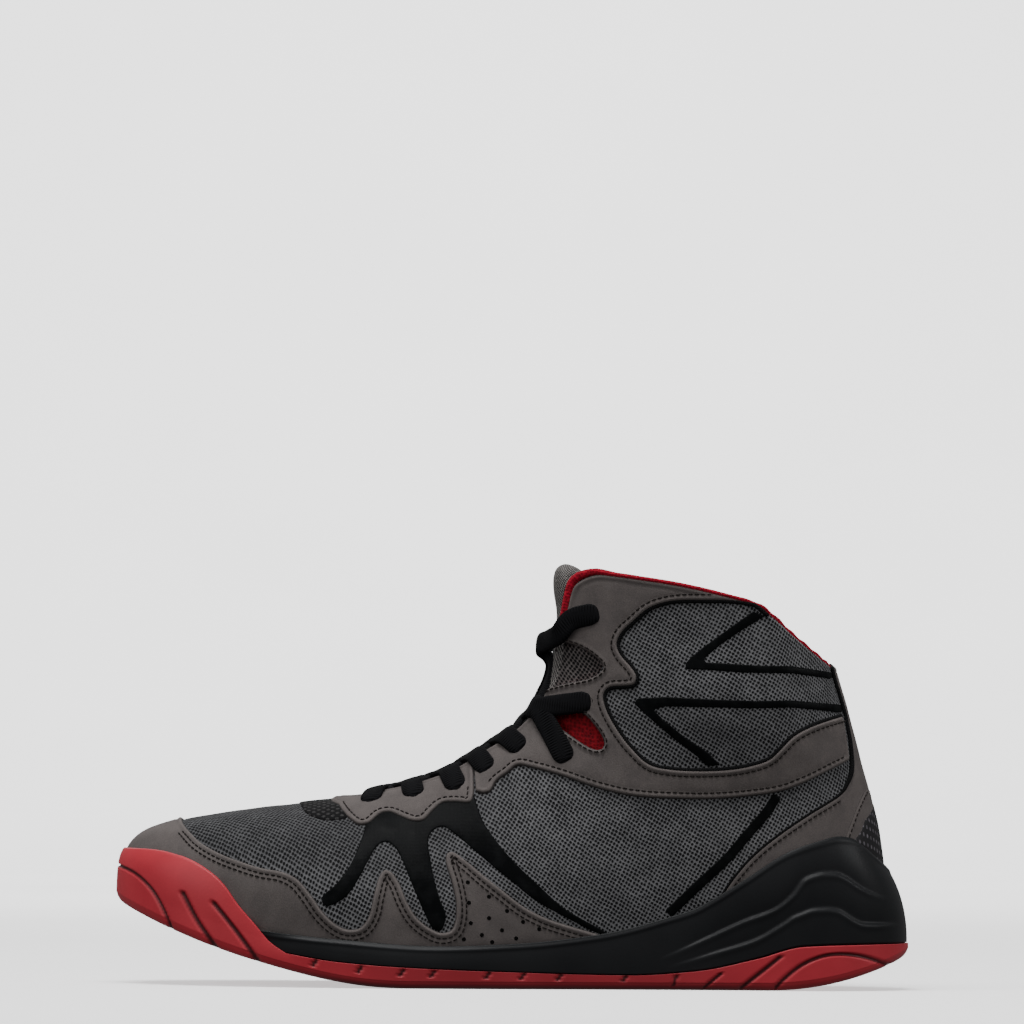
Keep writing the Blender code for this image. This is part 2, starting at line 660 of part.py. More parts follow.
def cut_flex_grooves(outsole):
    """Shallow slots across the outsole's underside."""
    for number, x in enumerate(FLEX_GROOVES):
        low = float(spring(x))
        half = GROOVE_WIDTH / 2
        slope = float(spring(x - 1) - spring(x + 1)) / 2
        outline = [(x - half, low + GROOVE_DEPTH), (x + half, low + GROOVE_DEPTH - slope),
                   (x + half - slope * 6, low - 6), (x - half - slope * 6, low - 6)]
        cut(outsole, prism(f"groove_{number + 1}", outline, -70.0, 70.0))


def stand_on_floor(pieces):
    """Hang the pieces from one empty so that the floor centre is the origin."""
    points = np.array([v.co[:] for piece in pieces for v in piece.data.vertices])
    low, high = points.min(0), points.max(0)
    shoe = bpy.data.objects.new("shoe", None)
    bpy.context.collection.objects.link(shoe)
    shoe.location = (-(low[0] + high[0]) / 2, -(low[1] + high[1]) / 2, -low[2])
    for obj in bpy.data.objects:
        if obj is not shoe:
            obj.parent = shoe


def build():
    """All pieces of the shoe."""
    for obj in list(bpy.data.objects):
        bpy.data.objects.remove(obj)
    sole = Sole()
    outsole = sole.outsole()
    cut_flex_grooves(outsole)
    upper = build_upper()
    for notch in NOTCHES:
        cut(upper, prism(notch.name, notch_outline(notch), -70.0, 70.0))
    throat = Throat()
    pieces = [outsole, sole.midsole(), sole.insole(), upper, build_tongue(throat)]
    pieces += build_laces(throat)
    stand_on_floor(pieces)


build()
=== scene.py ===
import logging
import math
from dataclasses import dataclass, field
from enum import Enum
from functools import partial
from typing import Callable, NamedTuple, Optional, Sequence

import bpy
import numpy as np
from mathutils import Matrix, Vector
from mathutils.geometry import delaunay_2d_cdt
from mathutils.kdtree import KDTree


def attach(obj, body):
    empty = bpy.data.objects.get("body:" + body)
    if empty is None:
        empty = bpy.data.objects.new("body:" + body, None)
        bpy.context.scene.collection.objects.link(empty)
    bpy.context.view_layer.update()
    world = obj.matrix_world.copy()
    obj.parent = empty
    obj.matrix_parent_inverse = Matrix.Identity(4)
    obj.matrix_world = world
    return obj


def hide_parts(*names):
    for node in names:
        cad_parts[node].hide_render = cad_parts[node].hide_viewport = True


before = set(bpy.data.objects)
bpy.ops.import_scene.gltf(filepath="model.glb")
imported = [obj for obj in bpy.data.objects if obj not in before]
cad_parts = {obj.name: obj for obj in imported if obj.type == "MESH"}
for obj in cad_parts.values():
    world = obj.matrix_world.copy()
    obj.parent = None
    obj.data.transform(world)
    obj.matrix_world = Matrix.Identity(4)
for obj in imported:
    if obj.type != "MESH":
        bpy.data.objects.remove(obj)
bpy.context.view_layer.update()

log = logging.getLogger("sneaker")
Array = np.ndarray

# Design millimetres: x from the toe tip to the heel, y with the outer side negative, z from
# the floor. A turn tells the place around the shoe: 0 heel back, 1 toe tip, outer side 0 to 1,
# inner side 2 down to 1. ORIGIN moves design millimetres into the frame of the CAD model.
# CHART is the size in millimetres of one turn and of one share of the wall, near enough to measure by.
MM = 0.001
ORIGIN = np.array([-147.645, 2.158, 0.0])
CHART = np.array([325.0, 110.0])
# Points that are measured at a time
BLOCK = 1500


# Small shared sums
def ease(t: Array) -> Array:
    """Smooth step from 0 to 1."""
    t = np.clip(t, 0.0, 1.0)
    return t * t * (3.0 - 2.0 * t)


def hermite(knots: Array, values: Array, slopes: Array, where: Array) -> Array:
    """Cubic through knots with known slopes.

    Args:
        knots: rising places of the values.
        values: one row of numbers for each knot.
        slopes: how the numbers rise there.
        where: places to read.

    Returns:
        The row of numbers at each place.
    """
    h = np.diff(knots)[:, None]
    i = np.clip(np.searchsorted(knots, where, side="right") - 1, 0, len(knots) - 2)
    t = ((where - knots[i]) / h[i, 0])[..., None]
    return ((1 + 2 * t) * (1 - t) ** 2 * values[i] + t * (1 - t) ** 2 * h[i] * slopes[i]
            + t * t * (3 - 2 * t) * values[i + 1] + t * t * (t - 1) * h[i] * slopes[i + 1])


def monotone(knots: Sequence, values: Sequence, where: Array, period: float = 0.0) -> Array:
    """Cubic through knots that never overshoots.

    Args:
        knots: rising places of the values.
        values: one number or one row of numbers for each knot.
        where: places to read.
        period: length of one round for a closed line, or 0.

    Returns:
        The value or row of values at each place.
    """
    k = np.asarray(knots, float)
    v = np.asarray(values, float).reshape(len(k), -1)
    q = np.asarray(where, float)
    if period:
        k = np.concatenate([k[-3:] - period, k, k[:3] + period])
        v = np.concatenate([v[-3:], v, v[:3]])
        q = (q - k[3]) % period + k[3]
    h = np.diff(k)[:, None]
    d = np.diff(v, axis=0) / h
    slope = np.zeros_like(v)
    same = d[:-1] * d[1:] > 0
    w1 = 2 * h[1:] + h[:-1]
    w2 = h[1:] + 2 * h[:-1]
    below = w1 / np.where(same, d[:-1], 1.0) + w2 / np.where(same, d[1:], 1.0)
    slope[1:-1] = np.where(same, (w1 + w2) / below, 0.0)
    slope[0], slope[-1] = d[0], d[-1]
    read = hermite(k, v, slope, np.clip(q, k[0], k[-1]))
    return read if v.shape[1] > 1 else read[..., 0]


def line_at(line: Sequence, x: Array) -> Array:
    """Height of a line of (x, z) points at x."""
    return monotone([row[0] for row in line], [row[1] for row in line], x)


def curve(points: Sequence, count: int) -> Array:
    """Smooth curve through points.

    Args:
        points: the places it goes through, any number of columns.
        count: how many points to return.

    Returns:
        Points along the curve, ends included.
    """
    p = np.asarray(points, float)
    shape = p.shape[1:]
    p = p.reshape(len(p), -1)
    chord = np.linalg.norm(np.diff(p, axis=0), axis=1)
    k = np.concatenate([[0.0], np.cumsum(np.maximum(chord, 1e-6) ** 0.5)])
    h = np.diff(k)[:, None]
    d = np.diff(p, axis=0) / h
    slope = np.empty_like(p)
    slope[1:-1] = (d[:-1] * h[1:] + d[1:] * h[:-1]) / (h[1:] + h[:-1])
    slope[0], slope[-1] = d[0], d[-1]
    return hermite(k, p, slope, np.linspace(0.0, k[-1], count)).reshape((count,) + shape)


def unit(v: Array) -> Array:
    """Vectors at length 1."""
    return v / np.maximum(np.linalg.norm(v, axis=-1, keepdims=True), 1e-9)


def run_along(line: Array) -> Array:
    """Distance along a line at each of its points."""
    return np.concatenate([[0.0], np.cumsum(np.linalg.norm(np.diff(line, axis=0), axis=1))])


def solve(a: Array, b: Array, goal: Array, damp: float) -> Array:
    """Shares of two vectors whose sum comes nearest to a goal.

    Args:
        a: first vectors, one row each.
        b: second vectors.
        goal: vectors to reach.
        damp: holds the shares small where the two vectors are short or alike.

    Returns:
        Rows of the two shares.
    """
    aa, bb, ab = (a * a).sum(-1) + damp, (b * b).sum(-1) + damp, (a * b).sum(-1)
    ag, bg = (a * goal).sum(-1), (b * goal).sum(-1)
    det = aa * bb - ab * ab
    return np.stack([(bb * ag - ab * bg) / det, (aa * bg - ab * ag) / det], -1)


def circle(normal: Array, count: int) -> Array:
    """Circle of radius 1 across a normal.

    Args:
        normal: direction that it faces.
        count: points around it.

    Returns:
        Its points about the origin.
    """
    along = unit(np.cross(normal, (0.0, 0.0, 1.0)))
    up = np.cross(along, normal)
    angle = np.arange(count) * math.tau / count
    return along * np.cos(angle)[:, None] + up * np.sin(angle)[:, None]


def even(points: Array, step: float, measure: Optional[Array] = None) -> Array:
    """Points spread evenly along a line.

    Args:
        points: the line.
        step: wanted distance.
        measure: the same line in the space where distance counts, if that is another.

    Returns:
        Points along the line about one step apart, ends included.
    """
    at = points if measure is None else measure
    run = run_along(at)
    count = max(int(round(run[-1] / step)), 1) + 1
    where = np.linspace(0.0, run[-1], count)
    return np.stack([np.interp(where, run, points[:, a]) for a in range(points.shape[1])], 1)


def segment_distance(points: Array, line: Array, closed: bool = False) -> Array:
    """Distance of points from a line of straight pieces.

    Args:
        points: where to measure, one row each.
        line: corners of the line.
        closed: joins the last corner to the first.

    Returns:
        The distance of each point.
    """
    a = line if closed else line[:-1]
    b = np.roll(line, -1, axis=0) if closed else line[1:]
    ab = b - a
    size = np.maximum((ab * ab).sum(-1), 1e-12)
    best = np.empty(len(points))
    for s in range(0, len(points), BLOCK):
        ap = points[s:s + BLOCK, None] - a[None]
        t = np.clip((ap * ab).sum(-1) / size, 0.0, 1.0)
        best[s:s + BLOCK] = np.linalg.norm(ap - ab * t[..., None], axis=-1).min(1)
    return best


def inside(points: Array, loop: Array) -> Array:
    """Whether each flat point lies inside a closed loop.

    Args:
        points: flat points, one row each.
        loop: corners of the loop.

    Returns:
        True for each point inside.
    """
    x0, y0 = loop[:, 0], loop[:, 1]
    x1, y1 = np.roll(x0, -1), np.roll(y0, -1)
    rise = np.where(y1 == y0, 1e-12, y1 - y0)
    odd = np.empty(len(points), bool)
    for s in range(0, len(points), BLOCK):
        px, py = points[s:s + BLOCK, :1], points[s:s + BLOCK, 1:]
        crossed = ((y0 > py) != (y1 > py)) & (px < x0 + (x1 - x0) * (py - y0) / rise)
        odd[s:s + BLOCK] = crossed.sum(1) % 2 == 1
    return odd


# Materials
def linear(colour: str) -> tuple:
    """Linear RGBA of an sRGB hex colour."""
    parts = [int(colour[i:i + 2], 16) / 255 for i in (1, 3, 5)]
    return (*(c / 12.92 if c <= 0.04045 else ((c + 0.055) / 1.055) ** 2.4 for c in parts), 1.0)


def wire(tree: bpy.types.NodeTree, node: bpy.types.Node, inputs: dict) -> None:
    """Set a node's inputs, or link them to the outputs that feed them.

    Args:
        tree: material tree that holds the node.
        node: the node.
        inputs: name or number of each input, to a value, a hex colour or an output.
    """
    for name, value in inputs.items():
        if isinstance(value, bpy.types.NodeSocket):
            tree.links.new(value, node.inputs[name])
        else:
            node.inputs[name].default_value = linear(value) if isinstance(value, str) else value


# Settings that nearly every node of a kind shares
USUAL = {"Mix": {"data_type": "RGBA"}, "TexNoise": {"noise_dimensions": "2D"},
         "TexVoronoi": {"voronoi_dimensions": "2D"}}


def add_node(tree: bpy.types.NodeTree, kind: str, inputs: dict, out: object = 0,
             **settings: object) -> bpy.types.NodeSocket:
    """Add a node with its settings and links.

    Args:
        tree: material tree that takes it.
        kind: Blender's name for the node, without ShaderNode before it.
        inputs: name or number of each input, to a value, a hex colour or an output.
        out: name or number of the output to return.
        settings: the node's own properties, where they aren't the usual ones.

    Returns:
        One output of the new node.
    """
    node = tree.nodes.new("ShaderNode" + kind)
    for name, value in {**USUAL.get(kind, {}), **settings}.items():
        setattr(node, name, value)
    wire(tree, node, inputs)
    return node.outputs[out]


@dataclass(frozen=True)
class Finish:
    """A material named for what it is, shared by every piece that wears it."""

    name: str

    def paint(self, add: Callable) -> dict:
        """Add the nodes of the finish.

        Args:
            add: adds a node to this material.

        Returns:
            What each input of the shader is set to or fed by.
        """
        raise NotImplementedError

    def make(self) -> bpy.types.Material:
        """Return the material, made on first use.

        Returns:
            The shared material of this finish.
        """
        found = bpy.data.materials.get(self.name)
        if found:
            return found
        material = bpy.data.materials.new(self.name)
        material.use_nodes = True
        tree = material.node_tree
        wire(tree, tree.nodes["Principled BSDF"], self.paint(partial(add_node, tree)))
        return material


@dataclass(frozen=True)
class Suede(Finish):
    """Split leather with a brushed nap: soft mottled grey, matt, paler where edges rub."""

    ground: str = "#4a4544"
    light: str = "#5d5755"
    worn: str = "#6d6664"
    # The seam colour is painted shade along the panel's very edge, where it meets the surface below.
    seam: str = "#141212"
    sheen: str = "#8d8582"
    nap: float = 0.55
    mottle: float = 9.0

    def paint(self, add: Callable) -> dict:
        """Add short nap, wide mottling, rubbed pale edges and painted shade along the very edge.

        Args:
            add: adds a node to this material.

        Returns:
            What each input of the shader is set to or fed by.
        """
        uv = add("UVMap", {}, uv_map="cloth")
        # The nap is finer than a pixel of the render, so it is drawn about three times too coarse.
        nap = add("TexNoise", {"Vector": uv, "Scale": 1 / self.nap, "Detail": 4.0, "Roughness": 0.7})
        wide = add("TexNoise", {"Vector": uv, "Scale": 1 / self.mottle, "Detail": 3.0, "Roughness": 0.6})
        both = add("Math", {0: nap, 1: wide}, operation="ADD")
        tone = add("MapRange", {"Value": both, "From Min": 0.6, "From Max": 1.4})
        cloth = add("Mix", {0: tone, 6: self.ground, 7: self.light}, 2)
        # The rim is each point's distance from the panel's edge, in millimetres.
        rim = add("Attribute", {}, "Fac", attribute_name="rim")
        edge = add("MapRange", {"Value": rim, "From Min": 1.9, "From Max": 0.6, "To Max": 0.55})
        rubbed = add("Math", {0: edge, 1: nap}, operation="MULTIPLY")
        worn = add("Mix", {0: rubbed, 6: cloth, 7: self.worn}, 2)
        # Painted shade: the last half millimetre of the panel's edge darkens towards the seam colour.
        seam = add("MapRange", {"Value": rim, "From Min": 0.55, "From Max": 0.1, "To Max": 0.85})
        colour = add("Mix", {0: seam, 6: worn, 7: self.seam}, 2)
        bump = add("Bump", {"Height": nap, "Strength": 0.35, "Distance": 0.00035})
        rough = add("MapRange", {"Value": wide, "To Min": 0.82, "To Max": 0.98})
        return {"Base Color": colour, "Normal": bump, "Roughness": rough, "Sheen Weight": 0.08,
                "Sheen Roughness": 0.5, "Sheen Tint": self.sheen, "Specular IOR Level": 0.2}


@dataclass(frozen=True)
class SpacerMesh(Finish):
    """Knitted polyester spacer mesh: a pale thread net over dark staggered holes."""

    thread: str = "#808082"
    shade: str = "#48484a"
    hole: str = "#0a0a0c"
    pitch: float = 1.28
    turned: float = 0.5
    open_size: float = 0.27
    drift: float = 9.0
    bend: float = 0.9
    fibre: float = 0.5
    patch: float = 6.0

    def paint(self, add: Callable) -> dict:
        """Add the net, its holes and the slow drift of the knit.

        Args:
            add: adds a node to this material.

        Returns:
            What each input of the shader is set to or fed by.
        """
        uv = add("UVMap", {}, uv_map="cloth")
        drift = add("TexNoise", {"Vector": uv, "Scale": 1 / self.drift, "Detail": 1.0}, "Color")
        bent = add("VectorMath", {0: drift, 1: (self.bend, self.bend, 0.0)}, operation="MULTIPLY")
        moved = add("VectorMath", {0: uv, 1: bent}, operation="ADD")
        laid = add("Mapping", {"Vector": moved, "Rotation": (0.0, 0.0, self.turned),
                               "Scale": (1 / self.pitch, 0.9 / self.pitch, 1.0)})
        cells = add("TexVoronoi", {"Vector": laid, "Scale": 1.0, "Randomness": 0.16})
        pucker = add("MapRange", {"Value": drift.node.outputs["Fac"], "From Min": 0.3, "From Max": 0.7,
                                  "To Min": -0.03, "To Max": 0.03})
        drawn = add("Math", {0: cells, 1: pucker}, operation="ADD")
        net = add("MapRange", {"Value": drawn, "From Min": self.open_size - 0.07,
                               "From Max": self.open_size + 0.17}, interpolation_type="SMOOTHSTEP")
        # The fibres are finer than a pixel of the render, so they are drawn coarser.
        fibre = add("TexNoise", {"Vector": uv, "Scale": 1 / self.fibre, "Detail": 2.0})
        patchy = add("TexNoise", {"Vector": uv, "Scale": 1 / self.patch, "Detail": 3.0})
        tone = add("Math", {0: patchy, 1: 0.5, 2: fibre}, operation="MULTIPLY_ADD")
        level = add("MapRange", {"Value": tone, "From Min": 0.25, "From Max": 1.25})
        crest = add("MapRange", {"Value": drawn, "From Min": 0.34, "From Max": 0.62, "To Min": 0.15})
        lit = add("Math", {0: level, 1: crest}, operation="MULTIPLY")
        # Here the rim is painted shade: the mesh darkens towards the hole colour where it faces up over the
        # forefoot.
        painted_top_shade = add("Attribute", {}, "Fac", attribute_name="rim")
        yarn = add("Mix", {0: lit, 6: self.shade, 7: self.thread}, 2)
        yarn = add("Mix", {0: painted_top_shade, 6: yarn, 7: self.hole}, 2)
        colour = add("Mix", {0: net, 6: self.hole, 7: yarn}, 2)
        bump = add("Bump", {"Height": net, "Strength": 0.7, "Distance": 0.0005})
        return {"Base Color": colour, "Normal": bump, "Roughness": 0.85, "Specular IOR Level": 0.15}


@dataclass(frozen=True)
class PressedFilm(Finish):
    """Thermoplastic film pressed on with heat: thin, black, with a soft gloss over the knit below."""

    ground: str = "#090a0b"
    worn: str = "#121314"
    rough: float = 0.42
    knit: float = 1.4
    scuff: float = 5.0

    def paint(self, add: Callable) -> dict:
        """Add the faint print of the mesh and scuffed patches.

        Args:
            add: adds a node to this material.

        Returns:
            What each input of the shader is set to or fed by.
        """
        uv = add("UVMap", {}, uv_map="cloth")
        knit = add("TexVoronoi", {"Vector": uv, "Scale": 1 / self.knit, "Randomness": 0.4})
        scuff = add("TexNoise", {"Vector": uv, "Scale": 1 / self.scuff, "Detail": 5.0})
        share = add("MapRange", {"Value": scuff, "From Min": 0.45, "From Max": 0.8})
        colour = add("Mix", {0: share, 6: self.ground, 7: self.worn}, 2)
        rough = add("MapRange", {"Value": scuff, "To Min": self.rough - 0.1, "To Max": self.rough + 0.16})
        bump = add("Bump", {"Height": knit, "Strength": 0.12, "Distance": 0.0003})
        return {"Base Color": colour, "Roughness": rough, "Normal": bump, "IOR": 1.5,
                "Specular IOR Level": 0.03}


@dataclass(frozen=True)
class MouldedRubber(Finish):
    """Compression-moulded rubber or foam: one colour through, satin skin, with painted shade in its grooves
    and along low edges.
    """

    ground: str = "#a72733"
    light: str = "#b52f3b"
    painted_shade_colour: str = "#420911"
    rough: float = 0.5
    grain: float = 0.9
    cloud: float = 26.0
    gloss: float = 0.3

    def paint(self, add: Callable) -> dict:
        """Add the mould's grain, slow colour drift and painted shade in grooves and along low edges.

        Args:
            add: adds a node to this material.

        Returns:
            What each input of the shader is set to or fed by.
        """
        place = add("TexCoord", {}, "Object")
        # Object coordinates are in metres, so a size in millimetres counts a thousand times.
        grain, slow = (add("TexNoise", {"Vector": place, "Scale": 1000 / size, "Detail": 3.0},
                           noise_dimensions="3D") for size in (self.grain, self.cloud))
        share = add("MapRange", {"Value": slow, "From Min": 0.35, "From Max": 0.65})
        skin = add("Mix", {0: share, 6: self.ground, 7: self.light}, 2)
        # Here the rim is how much painted shade a point gets, from 0 to 1: in grooves and cuts, and on
        # rolled and tucked edges.
        cut = add("Attribute", {}, "Fac", attribute_name="rim")
        colour = add("Mix", {0: cut, 6: skin, 7: self.painted_shade_colour}, 2)
        rough = add("MapRange", {"Value": slow, "To Min": self.rough - 0.08, "To Max": self.rough + 0.1})
        bump = add("Bump", {"Height": grain, "Strength": 0.12, "Distance": 0.0003})
        return {"Base Color": colour, "Roughness": rough, "Normal": bump, "IOR": 1.52,
                "Specular IOR Level": self.gloss}


@dataclass(frozen=True)
class KnitLining(Finish):
    """Brushed polyester knit: small loops and a short pile that catches light at its edges."""

    ground: str = "#6c0819"
    light: str = "#a3122a"
    sheen: str = "#e0606c"
    loop: float = 1.1
    pile: float = 2.5

    def paint(self, add: Callable) -> dict:
        """Add the loops and the uneven pile.

        Args:
            add: adds a node to this material.

        Returns:
            What each input of the shader is set to or fed by.
        """
        uv = add("UVMap", {}, uv_map="cloth")
        loops = add("TexVoronoi", {"Vector": uv, "Scale": 1 / self.loop, "Randomness": 0.6})
        pile = add("TexNoise", {"Vector": uv, "Scale": 1 / self.pile, "Detail": 5.0})
        both = add("Math", {0: loops, 1: pile}, operation="ADD")
        share = add("MapRange", {"Value": both, "From Min": 0.5, "From Max": 1.3})
        colour = add("Mix", {0: share, 6: self.ground, 7: self.light}, 2)
        bump = add("Bump", {"Height": both, "Strength": 0.6, "Distance": 0.0006})
        return {"Base Color": colour, "Normal": bump, "Roughness": 0.9, "Sheen Weight": 0.15,
                "Sheen Tint": self.sheen, "Specular IOR Level": 0.15}


@dataclass(frozen=True)
class WovenCord(Finish):
    """Woven polyester lace, thread or piping: fine slanted picks along the run."""

    ground: str = "#0a0a0b"
    light: str = "#17171a"
    pick: float = 1.2
    slants: tuple = (0.7, -0.7)

    def paint(self, add: Callable) -> dict:
        """Add picks at two slants that cross like a braid.

        Args:
            add: adds a node to this material.

        Returns:
            What each input of the shader is set to or fed by.
        """
        uv = add("UVMap", {}, uv_map="cloth")
        picks = []
        for slant in self.slants:
            laid = add("Mapping", {"Vector": uv, "Rotation": (0.0, 0.0, slant)})
            # A scale of 0.314 draws one wave in a millimetre. The picks are drawn coarser than real ones.
            picks.append(add("TexWave", {"Vector": laid, "Scale": 0.314 / self.pick, "Distortion": 0.4,
                                         "Detail": 1.0}, "Fac"))
        braid = add("Math", {0: picks[0], 1: picks[1]}, operation="MAXIMUM")
        colour = add("Mix", {0: braid, 6: self.ground, 7: self.light}, 2)
        bump = add("Bump", {"Height": braid, "Strength": 0.6, "Distance": 0.0004})
        return {"Base Color": colour, "Normal": bump, "Roughness": 0.85, "Specular IOR Level": 0.06}


@dataclass(frozen=True)
class VentNet(Finish):
    """Open black net over mesh: round vents between wide bars, with pale threads seen inside."""

    bar: str = "#0d0d0e"
    inner: str = "#434242"
    deep: str = "#0b0b0c"
    pitch: float = 2.5
    turned: float = 0.785
    fleck: float = 0.6

    def paint(self, add: Callable) -> dict:
        """Add bars and vents in staggered rows.

        Args:
            add: adds a node to this material.

        Returns:
            What each input of the shader is set to or fed by.
        """
        uv = add("UVMap", {}, uv_map="cloth")
        laid = add("Mapping", {"Vector": uv, "Rotation": (0.0, 0.0, self.turned),
                               "Scale": (1 / self.pitch, 1 / self.pitch, 1.0)})
        cells = add("TexVoronoi", {"Vector": laid, "Scale": 1.0, "Randomness": 0.12})
        bars = add("MapRange", {"Value": cells, "From Min": 0.26, "From Max": 0.36},
                   interpolation_type="SMOOTHSTEP")
        fleck = add("TexNoise", {"Vector": uv, "Scale": 1 / self.fleck, "Detail": 2.0})
        deep = add("Mix", {0: fleck, 6: self.deep, 7: self.inner}, 2)
        colour = add("Mix", {0: bars, 6: deep, 7: self.bar}, 2)
        bump = add("Bump", {"Height": bars, "Strength": 0.8, "Distance": 0.0006})
        return {"Base Color": colour, "Normal": bump, "Roughness": 0.85, "Specular IOR Level": 0.1}


@dataclass(frozen=True)
class DottedRubber(Finish):
    """Black moulded patch with rows of small raised grey ovals that lean to one side."""

    ground: str = "#19181a"
    dot: str = "#78737a"
    pitch: float = 2.1
    turned: float = 0.2
    grime_and_painted_shade: float = 3.0

    def paint(self, add: Callable) -> dict:
        """Add leaning dots in straight rows.

        Args:
            add: adds a node to this material.

        Returns:
            What each input of the shader is set to or fed by.
        """
        uv = add("UVMap", {}, uv_map="cloth")
        laid = add("Mapping", {"Vector": uv, "Rotation": (0.0, 0.0, self.turned),
                               "Scale": (1 / self.pitch, 0.62 / self.pitch, 1.0)})
        cells = add("TexVoronoi", {"Vector": laid, "Scale": 1.0, "Randomness": 0.0})
        dots = add("MapRange", {"Value": cells, "From Min": 0.28, "From Max": 0.16},
                   interpolation_type="SMOOTHSTEP")
        grime_and_painted_shade = add("TexNoise", {"Vector": uv, "Scale": 1 / self.grime_and_painted_shade, "Detail": 3.0})
        tone = add("Mix", {0: grime_and_painted_shade, 6: self.ground, 7: self.dot}, 2)
        colour = add("Mix", {0: dots, 6: self.ground, 7: tone}, 2)
        bump = add("Bump", {"Height": dots, "Strength": 0.6, "Distance": 0.0004})
        return {"Base Color": colour, "Normal": bump, "Roughness": 0.6, "Specular IOR Level": 0.2}


@dataclass(frozen=True)
class PaintedFloor(Finish):
    """Matt white studio floor: even and bright, with no shine."""

    ground: str = "#f6f6f6"
    light: str = "#ffffff"
    glow: float = 0.6

    def paint(self, add: Callable) -> dict:
        """Add a barely uneven white.

        Args:
            add: adds a node to this material.

        Returns:
            What each input of the shader is set to or fed by.
        """
        place = add("TexCoord", {}, "Object")
        slow = add("TexNoise", {"Vector": place, "Scale": 6.0, "Detail": 2.0}, noise_dimensions="3D")
        colour = add("Mix", {0: slow, 6: self.ground, 7: self.light}, 2)
        return {"Base Color": colour, "Roughness": 0.9, "Specular IOR Level": 0.1,
                "Emission Color": self.light, "Emission Strength": self.glow}


# Leather and cloth: matt, soft and a little uneven
SUEDE = Suede("suede_split_leather_brushed")
MESH = SpacerMesh("polyester_spacer_mesh_knitted")
TONGUE_MESH = SpacerMesh("tongue_mesh_knitted", thread="#a5a19e", shade="#53504e", pitch=1.2)
# A darker copy of the tongue mesh: painted shade for the notch gusset under the laces.
SHADED_NOTCH_MESH = SpacerMesh("gusset_mesh_knitted_darkened_for_shade", thread="#7c7675", shade="#3b3837", pitch=1.2)
LINING = KnitLining("red_lining_brushed_knit")
GUSSET = KnitLining("red_gusset_brushed_knit", ground="#4a0810", light="#84121f", loop=1.4)
SOCK = KnitLining("red_sockliner_brushed_knit", ground="#7d0f1d", light="#a3182b", loop=1.4)
VENT = VentNet("black_vent_net_knitted")
# Cords: nearly black, with a fine slanted weave that catches a little light
LACE = WovenCord("black_polyester_lace_woven", ground="#080809", light="#141416", pick=1.0,
                 slants=(0.0, 0.3))
THREAD = WovenCord("dark_polyester_thread_twisted", ground="#1b1817", light="#2b2726", pick=0.6)
PIPING = WovenCord("black_piping_woven", ground="#0d0d0e", light="#171718", pick=0.8)
# Near-black discs stand for the shade inside punched holes and eyelets.
HOLE_SHADE = WovenCord("painted_shade_in_punched_holes", ground="#040404", light="#080808", pick=0.8)
# Film, rubber, foam and paint: closed skins, from a low satin shine down to matt
FILM = PressedFilm("thermoplastic_film_heat_pressed")
RED_RUBBER = MouldedRubber("red_rubber_compression_moulded")
BLACK_FOAM = MouldedRubber("black_midsole_foam_moulded", ground="#151618", light="#1a1b1d", painted_shade_colour="#08080a",
                           rough=0.46, grain=0.7, gloss=0.14)
DOTTED = DottedRubber("black_rubber_patch_dotted")
FLOOR = PaintedFloor("white_studio_floor_painted")


class Slot(Enum):
    """Names of the material slots."""

    OUTSOLE = "outsole"
    MIDSOLE = "midsole"
    INSOLE = "insole"
    UPPER = "upper"
    TONGUE = "tongue"
    LACE = "lace"


def make_piece(name: str, points: Array, faces: Sequence, finishes: Sequence,
               uv: Optional[Array] = None, rim: Optional[Array] = None,
               wear: Optional[Array] = None) -> bpy.types.Object:
    """Make a visual piece that rides on the shoe.

    Args:
        name: plain name of the piece.
        points: its points in design millimetres.
        faces: corner numbers of each face.
        finishes: one finish for each material slot of the mesh.
        uv: cloth coordinates of each point, in millimetres.
        rim: a number for each point that the finish reads, such as distance from an edge, groove depth and
            painted shade.
        wear: which finish each face wears, if there is more than one.

    Returns:
        The new object.
    """
    mesh = bpy.data.meshes.new(name)
    mesh.from_pydata(((np.asarray(points) + ORIGIN) * MM).tolist(), [], [tuple(map(int, f)) for f in faces])
    for finish in finishes:
        mesh.materials.append(finish.make())
    if wear is not None:
        mesh.polygons.foreach_set("material_index", np.asarray(wear, np.int32))
    if uv is not None:
        corner = np.empty(len(mesh.loops), np.int32)
        mesh.loops.foreach_get("vertex_index", corner)
        layer = mesh.uv_layers.new(name="cloth")
        layer.uv.foreach_set("vector", np.asarray(uv, np.float32)[corner].ravel())
    if rim is not None:
        held = mesh.attributes.new("rim", "FLOAT", "POINT")
        held.data.foreach_set("value", np.asarray(rim, np.float32))
    mesh.shade_smooth()
    mesh.update()
    piece = bpy.data.objects.new(name, mesh)
    bpy.context.scene.collection.objects.link(piece)
    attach(piece, "root")
    log.info("%s: %d faces", name, len(mesh.polygons))
    return piece


def grid_faces(rows: int, columns: int, start: int = 0, closed: bool = False, flip: bool = False) -> list:
    """Quads between the points of a grid.

    Args:
        rows: points one way.
        columns: points the other way, side by side in the list.
        start: number of the first point.
        closed: joins the last column to the first.
        flip: turns the quads to face the other way.

    Returns:
        Corner numbers of each quad.
    """
    r = np.arange(rows - 1)[:, None] * columns + start
    c = np.arange(columns if closed else columns - 1)[None]
    d = (c + 1) % columns
    quads = np.stack([r + c, r + d, r + columns + d, r + columns + c], -1)
    quads = quads.reshape(-1, 4)
    return (quads[:, ::-1] if flip else quads).tolist()


# The form of the shoe, as the CAD model has it
class PlanSide(NamedTuple):
    """Breadths of one side of the footbed."""

    sign: float
    ball_x: float
    ball: float
    toe_bow: float
    toe_round: float
    heel_x: float
    heel: float
    pinch: float


